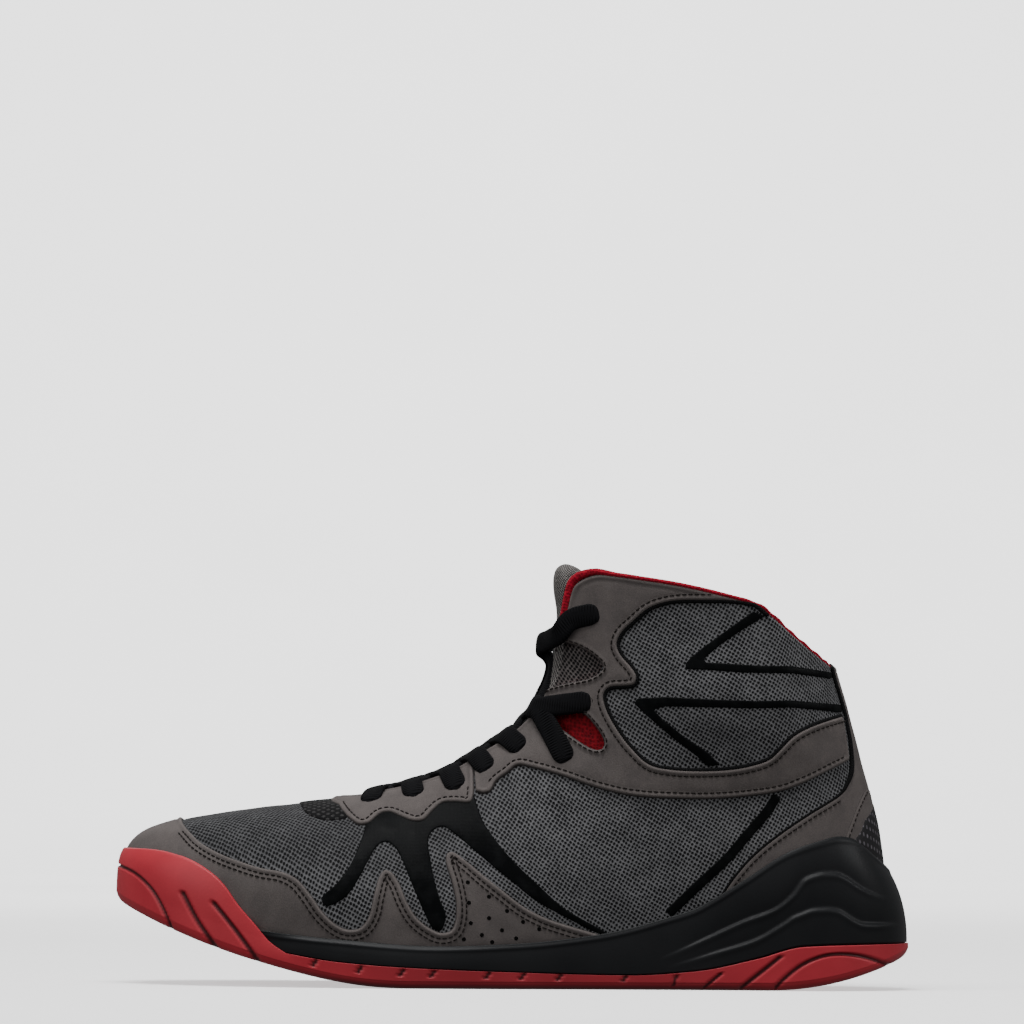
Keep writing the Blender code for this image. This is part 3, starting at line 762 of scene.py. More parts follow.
class TopRow(NamedTuple):
    """One place of the upper's top edge and the wall that leads to it."""

    foot_x: float
    x: float
    middle: float
    half_gap: float
    z: float
    squareness: float
    ramp: float


class Swell(NamedTuple):
    """A soft rise or hollow seen from the side."""

    x: float
    z: float
    reach_x: float
    reach_z: float
    out: float


class Trough(NamedTuple):
    """A soft crease from one place to another, seen from the side."""

    x0: float
    z0: float
    x1: float
    z1: float
    reach: float
    depth: float


class Flank(Enum):
    """The two sides of the shoe."""

    OUTER = PlanSide(-1.0, 108.0, 50.0, 2.4, 2.0, 245.0, 33.5, 0.0)
    INNER = PlanSide(1.0, 85.0, 46.0, 2.2, 2.1, 240.0, 33.0, 3.5)


TOP_LINE = (
    TopRow(287.0, 268.4, 0.0, 0.0, 120.0, 6.0, 0.66),
    TopRow(278.0, 264.7, 0.0, 14.0, 122.6, 6.0, 0.67),
    TopRow(262.0, 252.5, 0.0, 24.5, 132.4, 5.0, 0.70),
    TopRow(248.0, 239.0, 0.0, 29.0, 143.6, 4.0, 0.70),
    TopRow(234.0, 219.0, 0.0, 31.0, 149.8, 3.5, 0.70),
    TopRow(220.0, 198.0, 0.0, 29.5, 153.6, 3.0, 0.65),
    TopRow(209.0, 180.0, 0.0, 25.5, 155.6, 2.6, 0.60),
    TopRow(202.0, 170.0, 0.0, 22.5, 151.0, 2.4, 0.55),
    TopRow(194.0, 167.0, 0.0, 21.0, 138.0, 2.3, 0.50),
    TopRow(180.0, 163.5, 0.5, 19.5, 117.0, 2.2, 0.42),
    TopRow(163.0, 154.5, 1.0, 18.0, 100.0, 2.1, 0.36),
    TopRow(142.0, 139.0, 2.0, 16.5, 87.8, 2.1, 0.32),
    TopRow(117.0, 121.0, 3.0, 15.0, 77.6, 2.2, 0.28),
    TopRow(88.0, 103.0, 4.0, 13.0, 72.6, 2.5, 0.25),
    TopRow(60.0, 91.5, 4.0, 9.0, 70.3, 3.2, 0.27),
    TopRow(25.0, 87.0, 4.0, 4.5, 69.8, 3.9, 0.30),
    TopRow(3.5, 86.0, 4.0, 0.0, 69.7, 4.2, 0.31),
)
SWELLS = (Swell(236, 72, 30, 20, -2.2), Swell(222, 104, 26, 20, 2.6), Swell(100, 34, 50, 16, 1.2))
PUFFS = (Swell(226, 112, 30, 20, 1.2), Swell(190, 52, 40, 20, 0.7), Swell(70, 52, 24, 10, 0.4))
CREASES = (
    Trough(104, 66, 118, 46, 4.5, 0.55),
    Trough(90, 62, 101, 40, 4.0, 0.40),
    Trough(152, 78, 166, 62, 5.0, 0.45),
    Trough(178, 70, 196, 44, 6.0, 0.40),
    Trough(214, 66, 206, 44, 6.0, 0.35),
    Trough(198, 96, 226, 90, 5.0, 0.40),
    Trough(206, 132, 236, 124, 6.0, 0.35),
)
RED_LINE = (
    (66, 12.5), (84, 9.6), (108, 7.75), (144, 6.35), (192, 5.3), (216, 6.9), (240, 11.9), (256, 16.3),
    (295, 17.6),
)
WRAP_LINE = (
    (0, 50.6), (12, 50.2), (24, 47.8), (36, 42.3), (42, 37.5), (48, 30.0), (54, 23.4), (60, 16.6),
    (66, 12.5),
)
LIP_LINE = (
    (48, 22.0), (57, 20.6), (84, 17.8), (121, 15.5), (151, 16.7), (181, 20.3), (193, 22.9), (205, 26.4),
    (216, 29.9), (223, 33.6), (235, 41.0), (252, 51.6), (263, 55.4), (270, 57.0), (274, 56.6),
    (279, 53.2), (284, 48.4), (288, 45.0),
)
FLARE = ((3.5, 3.4), (60, 3.8), (110, 4.5), (170, 3.5), (225, 4.6), (262, 6.8), (287, 9.8))


@dataclass
class Last:
    """The shoe's form: footbed plan, bottom curve, and the upper's outer face as a chart.

    A place on the outer face is a pair (turn, share), with share 0 at the footbed and 1 at the
    top edge. The side patterns are told as seen from the camera, on the plane through the
    middle of the shoe.
    """

    toe_x: float = 3.5
    heel_x: float = 287.0
    toe_tip_y: float = 6.0
    heel_bow: float = 2.2
    toe_spring: float = 30.0
    spring_start: float = 110.0
    spring_bend: float = 1.88
    forefoot_stack: float = 10.5
    heel_stack: float = 22.0
    rim_stack: float = 5.4
    heel_bevel: float = 12.2
    toe_bevel: float = 1.2
    arch_rise: float = 2.2
    wall_plain: float = 2.3
    wall_padding: float = 1.2
    ripple: float = 0.10
    heel_round_x: float = 245.0
    heel_radius: float = 36.0
    gap: float = 0.3
    columns: int = 1440
    rows: int = 201
    eye_far: float = 3000.0
    eye_x: float = 0.37
    eye_z: float = 80.0
    eye_roll: float = 0.0087
    outlines: dict = field(default_factory=dict)

    def __post_init__(self) -> None:
        """Work out the chart of the outer face once."""
        self.outlines = {flank: self._outline(flank.value) for flank in Flank}
        self.turns = np.arange(self.columns) * 2.0 / self.columns
        self.shares = np.linspace(0.0, 1.0, self.rows)
        flat = self._grid(self.turns)
        self.grid = flat + self._normals(flat) * self._relief(flat)[..., None]
        self.normals = self._normals(self.grid)
        half = self.columns // 2
        near = self.seen(self.grid[:half + 1:2, ::2].reshape(-1, 3))
        self.places = np.stack(np.meshgrid(self.turns[:half + 1:2], self.shares[::2], indexing="ij"), -1)
        self.places = self.places.reshape(-1, 2)
        self.tree = KDTree(len(near))
        for i, (x, z) in enumerate(near):
            self.tree.insert((x, z, 0.0), i)
        self.tree.balance()

    def _outline(self, side: PlanSide) -> tuple:
        """Run of one side of the footbed from heel to toe: turn, x and y.

        Args:
            side: breadths of that side.

        Returns:
            Turn, x and y along the side.
        """
        x = self.toe_x + (self.heel_x - self.toe_x) * (1 + np.cos(np.linspace(0, math.pi, 1601))) / 2
        tip = self.toe_tip_y * side.sign
        toe_t = np.clip((side.ball_x - x) / (side.ball_x - self.toe_x), 0, 1)
        toe = tip + (side.ball - tip) * (1 - toe_t ** side.toe_bow) ** (1 / side.toe_round)
        heel_t = np.clip((x - side.heel_x) / (self.heel_x - side.heel_x), 0, 1)
        heel = side.heel * (1 - heel_t ** self.heel_bow) ** 0.5
        t = np.clip((x - side.ball_x) / (side.heel_x - side.ball_x), 0, 1)
        waist = side.ball + (side.heel - side.ball) * ease(t) - side.pinch * np.sin(math.pi * t) ** 2
        y = side.sign * np.where(x < side.ball_x, toe, np.where(x > side.heel_x, heel, waist))
        run = np.concatenate([[0], np.cumsum(np.hypot(np.diff(x), np.diff(y)))])
        return run / run[-1], x, y

    def turn_at(self, flank: Flank, x: Array) -> Array:
        """Turn at which one side of the footbed reaches x.

        Args:
            flank: side of the shoe.
            x: places along the shoe.

        Returns:
            The turn at each place.
        """
        turn, xs, _ = self.outlines[flank]
        along = np.interp(-np.asarray(x, float), -xs, turn)
        return along if flank is Flank.OUTER else 2.0 - along

    def footprint(self, turn: Array) -> Array:
        """Plan point of the footbed's edge at each turn.

        Args:
            turn: places around the shoe.

        Returns:
            Points (x, y).
        """
        turn = np.mod(turn, 2.0)
        outer, inner = self.outlines[Flank.OUTER], self.outlines[Flank.INNER]
        plan = []
        for axis in (1, 2):
            on_outer = np.interp(turn, outer[0], outer[axis])
            plan.append(np.where(turn <= 1, on_outer, np.interp(2 - turn, inner[0], inner[axis])))
        return np.stack(plan, -1)

    def outward(self, turn: Array) -> Array:
        """Plan normal of the footbed's edge, away from the foot."""
        step = self.footprint(turn + 0.004) - self.footprint(turn - 0.004)
        return unit(np.stack([-step[..., 1], step[..., 0]], -1))

    def spring(self, x: Array) -> Array:
        """Lift of the sole towards the toe."""
        ahead = np.clip((self.spring_start - x) / self.spring_start, 0, None)
        return self.toe_spring * ahead ** self.spring_bend

    def footbed(self, x: Array) -> Array:
        """Height of the midsole's top under the foot."""
        climb = (self.heel_stack - self.forefoot_stack) * ease((x - 90) / 175)
        return self.spring(x) + self.forefoot_stack + climb

    def bottom(self, x: Array, y: Array) -> Array:
        """Height of the outsole's underside.

        Args:
            x: places along the shoe.
            y: places across it.

        Returns:
            The height at each place.
        """
        bevel = self.heel_bevel * np.clip((x - 243.0) / 52.0, 0, None) ** 2
        bevel = bevel + self.toe_bevel * (1 - ease((x - 55.0) / 45.0))
        waist = np.sin(math.pi * np.clip((x - 152.0) / 52.0, 0, 1)) ** 2
        arch = self.arch_rise * waist * ease((y + 30.0) / 60.0)
        return self.spring(x) + bevel + arch

    def tray(self, x: Array) -> Array:
        """Height of the outsole's top, where the midsole lies.

        Args:
            x: places along the shoe.

        Returns:
            The height at each place.
        """
        start, height = RED_LINE[0]
        step = height - float(self.spring(start)) - self.rim_stack
        front = self.spring(x) + self.rim_stack + step * ease((x - 40.0) / 26.0)
        return np.where(x < start, front, line_at(RED_LINE, x))

    def top_line(self, turn: Array) -> Array:
        """Top edge of the upper at each turn, with the two wall-shape values.

        Args:
            turn: places around the shoe.

        Returns:
            Rows of x, y, z, squareness and ramp.
        """
        knots, values = [], []
        for row in TOP_LINE:
            knots.append(float(self.turn_at(Flank.OUTER, row.foot_x)))
            values.append((row.x, row.middle - row.half_gap, row.z, row.squareness, row.ramp))
        for row in reversed(TOP_LINE[1:-1]):
            knots.append(float(self.turn_at(Flank.INNER, row.foot_x)))
            values.append((row.x, row.middle + row.half_gap, row.z, row.squareness, row.ramp))
        return monotone(knots, values, turn, period=2.0)

    def walls(self, turn: Array, count: int = 121) -> Array:
        """Outer face as one line of points from footbed to top edge for each turn.

        Args:
            turn: places around the shoe.
            count: points on each line.

        Returns:
            Points in rows, one row for each turn.
        """
        foot = self.footprint(turn)
        base = np.concatenate([foot, (self.footbed(foot[:, 0]) + self.gap)[:, None]], 1)
        edge = self.top_line(turn)
        power, ramp = 2.0 / edge[:, 3:4], edge[:, 4:5]
        angle = np.linspace(0, math.pi / 2, count)[None]
        lean = 1 - np.clip(np.cos(angle), 0, 1) ** power
        rise = (1 - ramp) * np.sin(angle) ** power + ramp * lean
        points = base[:, None] + (edge[:, None, :3] - base[:, None]) * np.stack([lean, lean, rise], -1)
        swell = self._swell(points, SWELLS) * np.sin(np.pi * np.clip(rise, 0, 1)) ** 0.5
        points[..., :2] += self.outward(turn)[:, None] * swell[..., None]
        return points

    def _swell(self, points: Array, rows: Sequence) -> Array:
        """Sum of soft rises and hollows at points.

        Args:
            points: places in design millimetres.
            rows: the rises and hollows.

        Returns:
            Millimetres outward at each point.
        """
        total = np.zeros(points.shape[:-1])
        for row in rows:
            far_x = (points[..., 0] - row.x) / row.reach_x
            far_z = (points[..., 2] - row.z) / row.reach_z
            total += row.out * np.exp(-(far_x ** 2 + far_z ** 2))
        return total

    def _relief(self, points: Array) -> Array:
        """Padding and soft creases over the plain form, in millimetres outward.

        Args:
            points: places in design millimetres.

        Returns:
            Millimetres outward at each point.
        """
        out = self._swell(points, PUFFS)
        flat = points[..., [0, 2]].reshape(-1, 2)
        for row in CREASES:
            line = np.array([[row.x0, row.z0], [row.x1, row.z1]])
            across = segment_distance(flat, line).reshape(out.shape)
            out -= row.depth * np.exp(-(across / row.reach) ** 2)
        x, z = points[..., 0], points[..., 2]
        wave = np.sin(x * 0.31 + z * 0.19) * np.sin(z * 0.27 - x * 0.11)
        return out + self.ripple * wave

    def _grid(self, turn: Array) -> Array:
        """Outer face at even shares of each wall line.

        Args:
            turn: places around the shoe.

        Returns:
            Points in rows, one row for each turn.
        """
        lines = self.walls(turn)
        grid = np.empty((len(lines), self.rows, 3))
        for i, line in enumerate(lines):
            run = run_along(line)
            for axis in range(3):
                grid[i, :, axis] = np.interp(self.shares * run[-1], run, line[:, axis])
        return grid

    def _normals(self, grid: Array) -> Array:
        """Outward normals of the chart's grid."""
        around = np.roll(grid, -3, axis=0) - np.roll(grid, 3, axis=0)
        return unit(np.cross(np.gradient(grid, axis=1), around))

    def at(self, place: Array) -> tuple:
        """Outer face at places of the chart.

        Args:
            place: rows of (turn, share).

        Returns:
            Points and outward normals.
        """
        u = np.mod(place[..., 0], 2.0) / 2.0 * self.columns
        i = np.floor(u).astype(int)
        fu = (u - i)[..., None]
        i %= self.columns
        j = (i + 1) % self.columns
        v = np.clip(place[..., 1], 0.0, 1.0) * (self.rows - 1)
        k = np.minimum(v.astype(int), self.rows - 2)
        fv = (v - k)[..., None]
        read = []
        for table in (self.grid, self.normals):
            low = table[i, k] * (1 - fu) + table[j, k] * fu
            high = table[i, k + 1] * (1 - fu) + table[j, k + 1] * fu
            read.append(low * (1 - fv) + high * fv)
        return read[0], unit(read[1])

    def seen(self, points: Array) -> Array:
        """Side view (x, z) of points, as the camera sees them on the middle plane.

        Args:
            points: places in design millimetres.

        Returns:
            Points (x, z).
        """
        scale = self.eye_far / (self.eye_far + points[..., 1] + ORIGIN[1])
        middle = self.eye_x - ORIGIN[0]
        z = self.eye_z + (points[..., 2] - self.eye_z) * scale
        x = middle + (points[..., 0] - middle) * scale + (z - self.eye_z) * self.eye_roll
        return np.stack([x, z], -1)

    def slopes(self, place: Array) -> tuple:
        """How the outer face runs at places of the chart, for one turn and for one share.

        Args:
            place: rows of (turn, share).

        Returns:
            Two lists of vectors, by turn and by share.
        """
        high, low = place + (0.003, 0.0), place - (0.003, 0.0)
        by_turn = (self.at(high)[0] - self.at(low)[0]) / 0.006
        high, low = place.copy(), place.copy()
        high[..., 1] = np.clip(place[..., 1] + 0.01, 0, 1)
        low[..., 1] = np.clip(place[..., 1] - 0.01, 0, 1)
        by_share = (self.at(high)[0] - self.at(low)[0]) / (high[..., 1] - low[..., 1])[..., None]
        return by_turn, by_share

    def shift(self, place: Array, vector: Array) -> Array:
        """Places reached by going along the face by a vector in millimetres.

        Args:
            place: rows of (turn, share).
            vector: how far to go, one row each.

        Returns:
            The new places.
        """
        return place + solve(*self.slopes(place), vector, 1.0)

    def find(self, side: Sequence) -> Array:
        """Places on the outer side where points of the side view are seen.

        Args:
            side: (x, z) points of the side view.

        Returns:
            Rows of (turn, share).
        """
        target = np.asarray(side, float)
        place = np.array([self.places[self.tree.find((x, z, 0.0))[1]] for x, z in target])
        for _ in range(5):
            miss = target - self.seen(self.at(place)[0])
            by_turn, by_share = (slope[:, [0, 2]] for slope in self.slopes(place))
            step = solve(by_turn, by_share, miss, 20.0)
            place = np.clip(place + np.clip(step, (-0.006, -0.012), (0.006, 0.012)), 0.0, 1.0)
        return place

    def trace(self, side: Sequence, step: float = 1.2) -> Array:
        """Places along a smooth line through points of the side view."""
        smooth = curve(side, 40 * len(side))
        return self.find(even(smooth, step))

    def ridge(self, x: float) -> Array:
        """Place on the toe's middle line at x."""
        line = self.grid[self.columns // 2]
        return np.array([1.0, float(np.interp(x, line[:, 0], self.shares))])

    def edge(self, start: float, end: float, share: float = 1.0, step: float = 0.004) -> Array:
        """Places along the top edge, or along another share, between two turns."""
        turn = np.linspace(start, end, max(int(abs(end - start) / step), 2))
        return np.stack([turn, np.full(len(turn), share)], 1)

    def wall(self, points: Array) -> Array:
        """Thickness of the upper at points of its outer face."""
        return self.wall_plain + self.wall_padding * ease((points[..., 2] - 95.0) / 45.0)

    def cloth(self, points: Array) -> Array:
        """Cloth coordinates in millimetres: along the shoe, and over it from side to side.

        Args:
            points: places in design millimetres.

        Returns:
            One pair of coordinates for each point.
        """
        x, y, z = points[..., 0], points[..., 1], points[..., 2]
        start = self.heel_round_x
        around = start + self.heel_radius * np.arctan2(x - start, np.abs(y) + 1.0)
        along = np.where(x > start, around, x)
        radius = np.interp(x, (0.0, 40.0, 100.0, 150.0), (22.0, 34.0, 50.0, 60.0))
        arch = radius * (np.arctan2(z - 15.0, np.abs(y - 3.0) + 0.5) - 0.8)
        over = arch + (z - 52.0 - arch) * ease((x - 120.0) / 60.0)
        return np.stack([along * np.where(y > 3.0, -1.0, 1.0), over], -1)

    def round_heel(self, points: Array) -> Array:
        """Cloth coordinates in millimetres round the back of the heel, without a seam."""
        around = self.heel_radius * np.arctan2(points[..., 1], points[..., 0] - self.heel_round_x)
        return np.stack([around, points[..., 2]], -1)


def mirrored(place: Array) -> Array:
    """The same places on the other side of the shoe, in the opposite order."""
    return np.stack([2.0 - place[::-1, 0], place[::-1, 1]], 1)


class EdgeShape(NamedTuple):
    """How far a panel's edge rounds down, and how far in its rings of points lie."""

    reach: float
    rings: tuple


class EdgeKind(Enum):
    """How the edge of a panel is made: turned under with a raised bead, cut raw, or pressed flat."""

    FOLDED = EdgeShape(1.0, (0.3, 0.7, 1.15, 1.7, 2.3, 3.1))
    CUT = EdgeShape(0.55, (0.2, 0.6, 1.3, 1.9, 2.6))
    PRESSED = EdgeShape(0.5, (0.25, 0.6))


@dataclass
class Panel:
    """A sheet laid on the upper, cut to outlines on its chart."""

    name: str
    outlines: list
    finish: Finish
    thickness: float
    kind: EdgeKind = EdgeKind.CUT
    lift: float = 0.0
    step: float = 2.4
    tuck: float = 0.25
    bead: float = 0.22
    sewn_groove: float = 0.16

    def height(self, far: Array) -> Array:
        """Height over the upper at distances from the panel's edge.

        Args:
            far: the distances.

        Returns:
            The heights.
        """
        q = np.clip(far / self.kind.value.reach, 0.0, 1.0)
        up = -self.tuck + (self.thickness + self.tuck) * np.sqrt(1 - (1 - q) ** 2)
        if self.kind is EdgeKind.FOLDED:
            sewn = self.bead * np.exp(-((far - 2.3) / 0.5) ** 2)
            up += self.bead * np.exp(-((far - 1.1) / 0.6) ** 2) - sewn
        if self.kind is EdgeKind.CUT:
            up -= self.sewn_groove * np.exp(-((far - 1.9) / 0.5) ** 2)
        return self.lift + up

    def sheet(self, last: Last, outline: Array) -> tuple:
        """One sheet of the panel.

        Args:
            last: form that it lies on.
            outline: closed outline on the chart.

        Returns:
            Points, triangles and each point's distance from the edge.
        """
        points, _ = last.at(outline)
        closed = np.concatenate([outline, outline[:1]])
        ring = np.concatenate([points, points[:1]])
        loop = even(closed, 0.9, ring)[:-1]
        flat = loop * CHART
        line, normal = last.at(loop)
        along = unit(np.roll(line, -1, axis=0) - np.roll(line, 1, axis=0))
        inward = unit(np.cross(normal, along))
        if inside(last.shift(loop, inward * 0.5) * CHART, flat).mean() < 0.5:
            inward = -inward
        extra = []
        for depth in self.kind.value.rings:
            ring = last.shift(loop, inward * depth)
            good = inside(ring * CHART, flat)
            good &= segment_distance(last.at(ring)[0], line, True) > 0.8 * depth
            extra.append(ring[good])
        low, high = flat.min(0), flat.max(0)
        ticks = [np.arange(low[axis], high[axis], self.step) for axis in (0, 1)]
        across = np.stack(np.meshgrid(*ticks, indexing="ij"), -1).reshape(-1, 2)
        across = across[inside(across, flat)] / CHART
        if len(across):
            clear = segment_distance(last.at(across)[0], line, True) > self.kind.value.rings[-1] + 0.8
            extra.append(across[clear])
        spots = np.concatenate([loop] + extra) * CHART
        bounds = [(i, (i + 1) % len(loop)) for i in range(len(loop))]
        verts, _, faces, _, _, _ = delaunay_2d_cdt([Vector(p) for p in spots], bounds, [], 0, 1e-4)
        flat_all = np.array([v[:] for v in verts])
        faces = np.array(faces)
        faces = faces[inside(flat_all[faces].mean(1), flat)]
        place = flat_all / CHART
        base, normal = last.at(place)
        far = segment_distance(base, line, True)
        return base + normal * self.height(far)[:, None], faces, far

    def build(self, last: Last) -> bpy.types.Object:
        """Make the panel's piece on the form.

        Args:
            last: form that it lies on.

        Returns:
            The new object.
        """
        points, faces, rims = [], [], []
        count = 0
        for outline in self.outlines:
            sheet, tris, far = self.sheet(last, outline)
            normal = np.cross(sheet[tris[:, 1]] - sheet[tris[:, 0]], sheet[tris[:, 2]] - sheet[tris[:, 0]])
            out = last.at(outline)[1].mean(0)
            if (normal @ out).sum() < 0:
                tris = tris[:, ::-1]
            points.append(sheet)
            faces.append(tris + count)
            rims.append(far)
            count += len(sheet)
        spots = np.concatenate(points)
        cloth = last.round_heel(spots) if isinstance(self.finish, DottedRubber) else last.cloth(spots)
        return make_piece(self.name, spots, np.concatenate(faces), [self.finish], cloth,
                          np.concatenate(rims) if isinstance(self.finish, Suede) else None)


def sweep(path: Array, normals: Array, wide: object, thick: object, sides: int = 12,
          rib: float = 0.0, pitch: float = 1.4, square: float = 2.0) -> tuple:
    """Tube along a path with an oval section.

    Args:
        path: middle line.
        normals: directions of the thin way, one for each point.
        wide: width of the section, one number or one for each point.
        thick: thickness of the section, likewise.
        sides: points around the section.
        rib: share by which cross ribs swell the section.
        pitch: distance of the ribs.
        square: power of the oval, 2 for an ellipse.

    Returns:
        Points, faces and cloth coordinates.
    """
    forward = unit(np.gradient(path, axis=0))
    up = unit(normals - forward * (normals * forward).sum(-1, keepdims=True))
    across = np.cross(forward, up)
    run = run_along(path)
    swell = 1 + rib * (np.abs(np.sin(math.pi * run / pitch)) - 0.6)
    angle = np.arange(sides) * math.tau / sides
    c = np.sign(np.cos(angle)) * np.abs(np.cos(angle)) ** (2 / square)
    s = np.sign(np.sin(angle)) * np.abs(np.sin(angle)) ** (2 / square)
    broad, slim = (np.broadcast_to(size, len(path)) * swell / 2 for size in (wide, thick))
    rings = (path[:, None] + across[:, None] * (c[None] * broad[:, None])[..., None]
             + up[:, None] * (s[None] * slim[:, None])[..., None])
    radius = float(np.mean(broad) + np.mean(slim)) / 2
    uv = np.stack(np.broadcast_arrays(run[:, None], angle[None] * radius), -1)
    faces = grid_faces(len(path), sides, closed=True, flip=True)
    faces.append(tuple(range(sides)))
    faces.append(tuple(range((len(path) - 1) * sides, len(path) * sides))[::-1])
    return rings.reshape(-1, 3), faces, uv.reshape(-1, 2)


def make_joined(name: str, parts: Sequence, finish: Finish) -> bpy.types.Object:
    """Make one visual piece of many parts.

    Args:
        name: plain name of the piece.
        parts: points, faces and uv of each part.
        finish: the finish of all of them.

    Returns:
        The new object.
    """
    faces, count = [], 0
    for spots, corners, _ in parts:
        faces += [tuple(c + count for c in face) for face in corners]
        count += len(spots)
    points, uv = (np.concatenate([part[i] for part in parts]) for i in (0, 2))
    return make_piece(name, points, faces, [finish], uv)


# Pattern of the upper, seen from the outer side
MUDGUARD = (
    (183.1, 19.0), (171.5, 22.2), (160.2, 25.8), (152.4, 29.8), (144.9, 35.4), (137.4, 41.3), (131, 46.5),
    (125.8, 49.8), (123.5, 49.1), (123.2, 45.7), (125.4, 38.2), (126.9, 30.4), (126.5, 23.6), (125, 20.6),
    (121.3, 19.8), (117.6, 21.3), (112.7, 25), (108.9, 31), (105.9, 38.1), (103, 42.1), (100.3, 42.9),
    (98.1, 40.2), (96.2, 33.5), (94.3, 25.6), (91.3, 21.5), (86.9, 20.7), (82.4, 22.5), (77.5, 27),
    (73, 33.3), (67.8, 39.2), (62.5, 41.8), (54.7, 43.2), (47.2, 45.4), (39.3, 48.3), (31.8, 52.4),
    (27.4, 56.6),
)
MUDGUARD_RIDGE = 25.0
PUNCHES = (
    (131.4, 38.3), (139.3, 33.1), (131.8, 30.8), (146, 27.9), (139.3, 25.2), (152, 23.9), (132.5, 23.3),
    (144.1, 20.8), (158, 21.3), (136.6, 18.9), (149.4, 17.8), (129.9, 17.3), (140.4, 16.3),
)
WEB_FILM = (
    (94, 62), (90.6, 51.8), (86.9, 43.9), (82.4, 37.8), (76.7, 32.2), (78.2, 29.2), (85.4, 32.3),
    (90.6, 39.4), (94.3, 46.2), (97.7, 51.8), (100.7, 53.4), (103.7, 51.9), (106.7, 47), (109.7, 39.6),
    (112.7, 32.5), (115.7, 25.8), (118.3, 21.2), (121.3, 20.2), (123.4, 25.9), (121.3, 31.8), (119, 39.7),
    (117.6, 47.1), (116.8, 54.2), (118.3, 57.6), (122, 59.2), (126.5, 56.6), (133.3, 51), (141.1, 44.4),
    (148.6, 38.4), (156.5, 32.1), (167.7, 25.9), (181.6, 19.4), (184.8, 19.4), (179.3, 22.6),
    (167.7, 29.2), (157.2, 38.5), (149.4, 45.9), (142.6, 53.7), (137.4, 61.2), (135.1, 67.1), (133, 72),
    (122, 71), (112, 64), (102, 66),
)
VENT_EDGE = ((69.0, 67.0), (70.2, 64.6), (73.0, 62.6), (77.0, 61.4), (81.0, 61.2), (86.0, 62.0))
VENT_RIDGE = 68.8
EYESTAY = (
    (134, 73.5), (133.6, 70.1), (132.5, 68.2), (126.5, 68.2), (122, 67.8), (118.3, 64.7), (114.9, 61.3),
    (111.2, 60.9), (106.7, 62.4), (102.2, 64.2), (99.2, 63.8), (94.3, 60), (90.6, 59.6), (87.4, 61.6),
    (84.6, 64.4), (82.9, 66.8),
)
EYESTAY_RIDGE = 81.6
BAND_LOW = (
    (134.4, 72.4), (137.4, 71.6), (140, 72.4), (142.3, 76.2), (146.8, 79.6), (150.1, 82.2), (156.5, 81.2),
    (167.3, 78.3), (178.2, 74.6), (190.2, 71.7), (199.2, 70.7), (209.6, 70.4), (224.2, 70.5),
    (238.5, 71.8), (249.3, 73.7), (256.4, 76.4), (263.6, 79.9), (273.7, 85.2),
)
WINDOW = (
    (271, 102), (260.6, 98.5), (253.1, 94.4), (248.2, 89.5), (244.1, 85.7), (236.2, 83), (223.9, 81.4),
    (207.8, 81.6), (199.5, 83.4), (193.2, 89), (187.6, 96.4), (183.4, 104.6), (182.7, 109.5),
    (184.9, 111.7), (189.8, 112.2), (193.9, 112.9), (195, 115.9), (193.2, 119.3), (189.1, 124.1),
    (187.6, 127.9), (189.1, 132), (193.2, 136.1), (199.5, 141.4), (207.8, 144.1), (219.8, 144.6),
    (232.1, 144.3), (238.5, 143.3),
)
UPPER_NOTCH = (
    (164.9, 129.2), (168.5, 128.4), (173, 127), (178.2, 124), (182.3, 119.6), (181.2, 117.7),
    (177.4, 115.4), (169.6, 113.5), (165.0, 112.3), (161.2, 111.2),
)
LOWER_NOTCH = (
    (156.9, 103.9), (163.2, 103.6), (170.0, 103.2), (174.6, 102.0), (178.4, 98.4), (181.6, 93.8),
    (182.6, 90.6), (181.4, 88.8), (178.4, 88.8), (174.2, 91.0), (168.6, 94.8), (163.6, 98.2),
    (159.2, 100.6), (155.3, 101.3),
)
CHEVRONS = (
    ((238.3, 140.7), (228.8, 133.8), (220.4, 127.7), (215.2, 123.4), (213.1, 121.0), (213.1, 119.2),
     (221.5, 119.0), (235.1, 118.0), (253.0, 117.9), (267.4, 116.0), (267.6, 118.1), (253.0, 120.3),
     (238.3, 120.5), (225.7, 121.2), (220.2, 121.4), (219.9, 123.4), (225.7, 128.2), (233.0, 133.3),
     (242.5, 139.0)),
    ((271.6, 106.0), (253.0, 107.5), (238.3, 107.2), (225.7, 107.5), (205.7, 108.4), (195.2, 107.8),
     (193.9, 106.2), (198.3, 101.9), (207.8, 93.7), (217.2, 86.7), (220.9, 83.0), (226.1, 83.2),
     (221.5, 87.5), (213.1, 93.0), (204.7, 99.7), (200.7, 103.8), (205.7, 105.2), (225.7, 104.9),
     (238.3, 104.7), (253.0, 105.1), (271.2, 103.4)),
)
REAR_STRIP = ((247.3, 72.0), (243.0, 65.5), (236.2, 57.5), (228.7, 48.6), (218.0, 38.5), (206.4, 27.3))
HEEL_FRONT = (
    (272.5, 102), (274.4, 91.2), (274.8, 81.8), (273.3, 76.9), (270.7, 72.8), (259.8, 65.6),
    (249.3, 58.4), (238.5, 49.7), (231.4, 41.8), (226.0, 34.0),
)
HEEL_PATCH = (
    (283.0, 69.0), (281.2, 65.4), (279.4, 63.0), (278.0, 59.0), (276.2, 56.5), (274.6, 53.5),
    (276.0, 50.5), (280.0, 46.0),
)
WINDOW_TOP = ((243.5, 141.0),)
HEEL_TOP = ((267.2, 120.8),)
THROAT_FOOT = ((133.8, 79.6),)
HEEL_STRAP = ((279.6, 74.6), (276.5, 68.0), (273.5, 60.0), (272.0, 56.0))
EYELETS = (
    (95.1, 68.2), (111.6, 70.6), (127.6, 73.8), (138.9, 80.8), (151.5, 88.8), (168.3, 84.8),
    (176.7, 106.4), (179.7, 139.4),
)
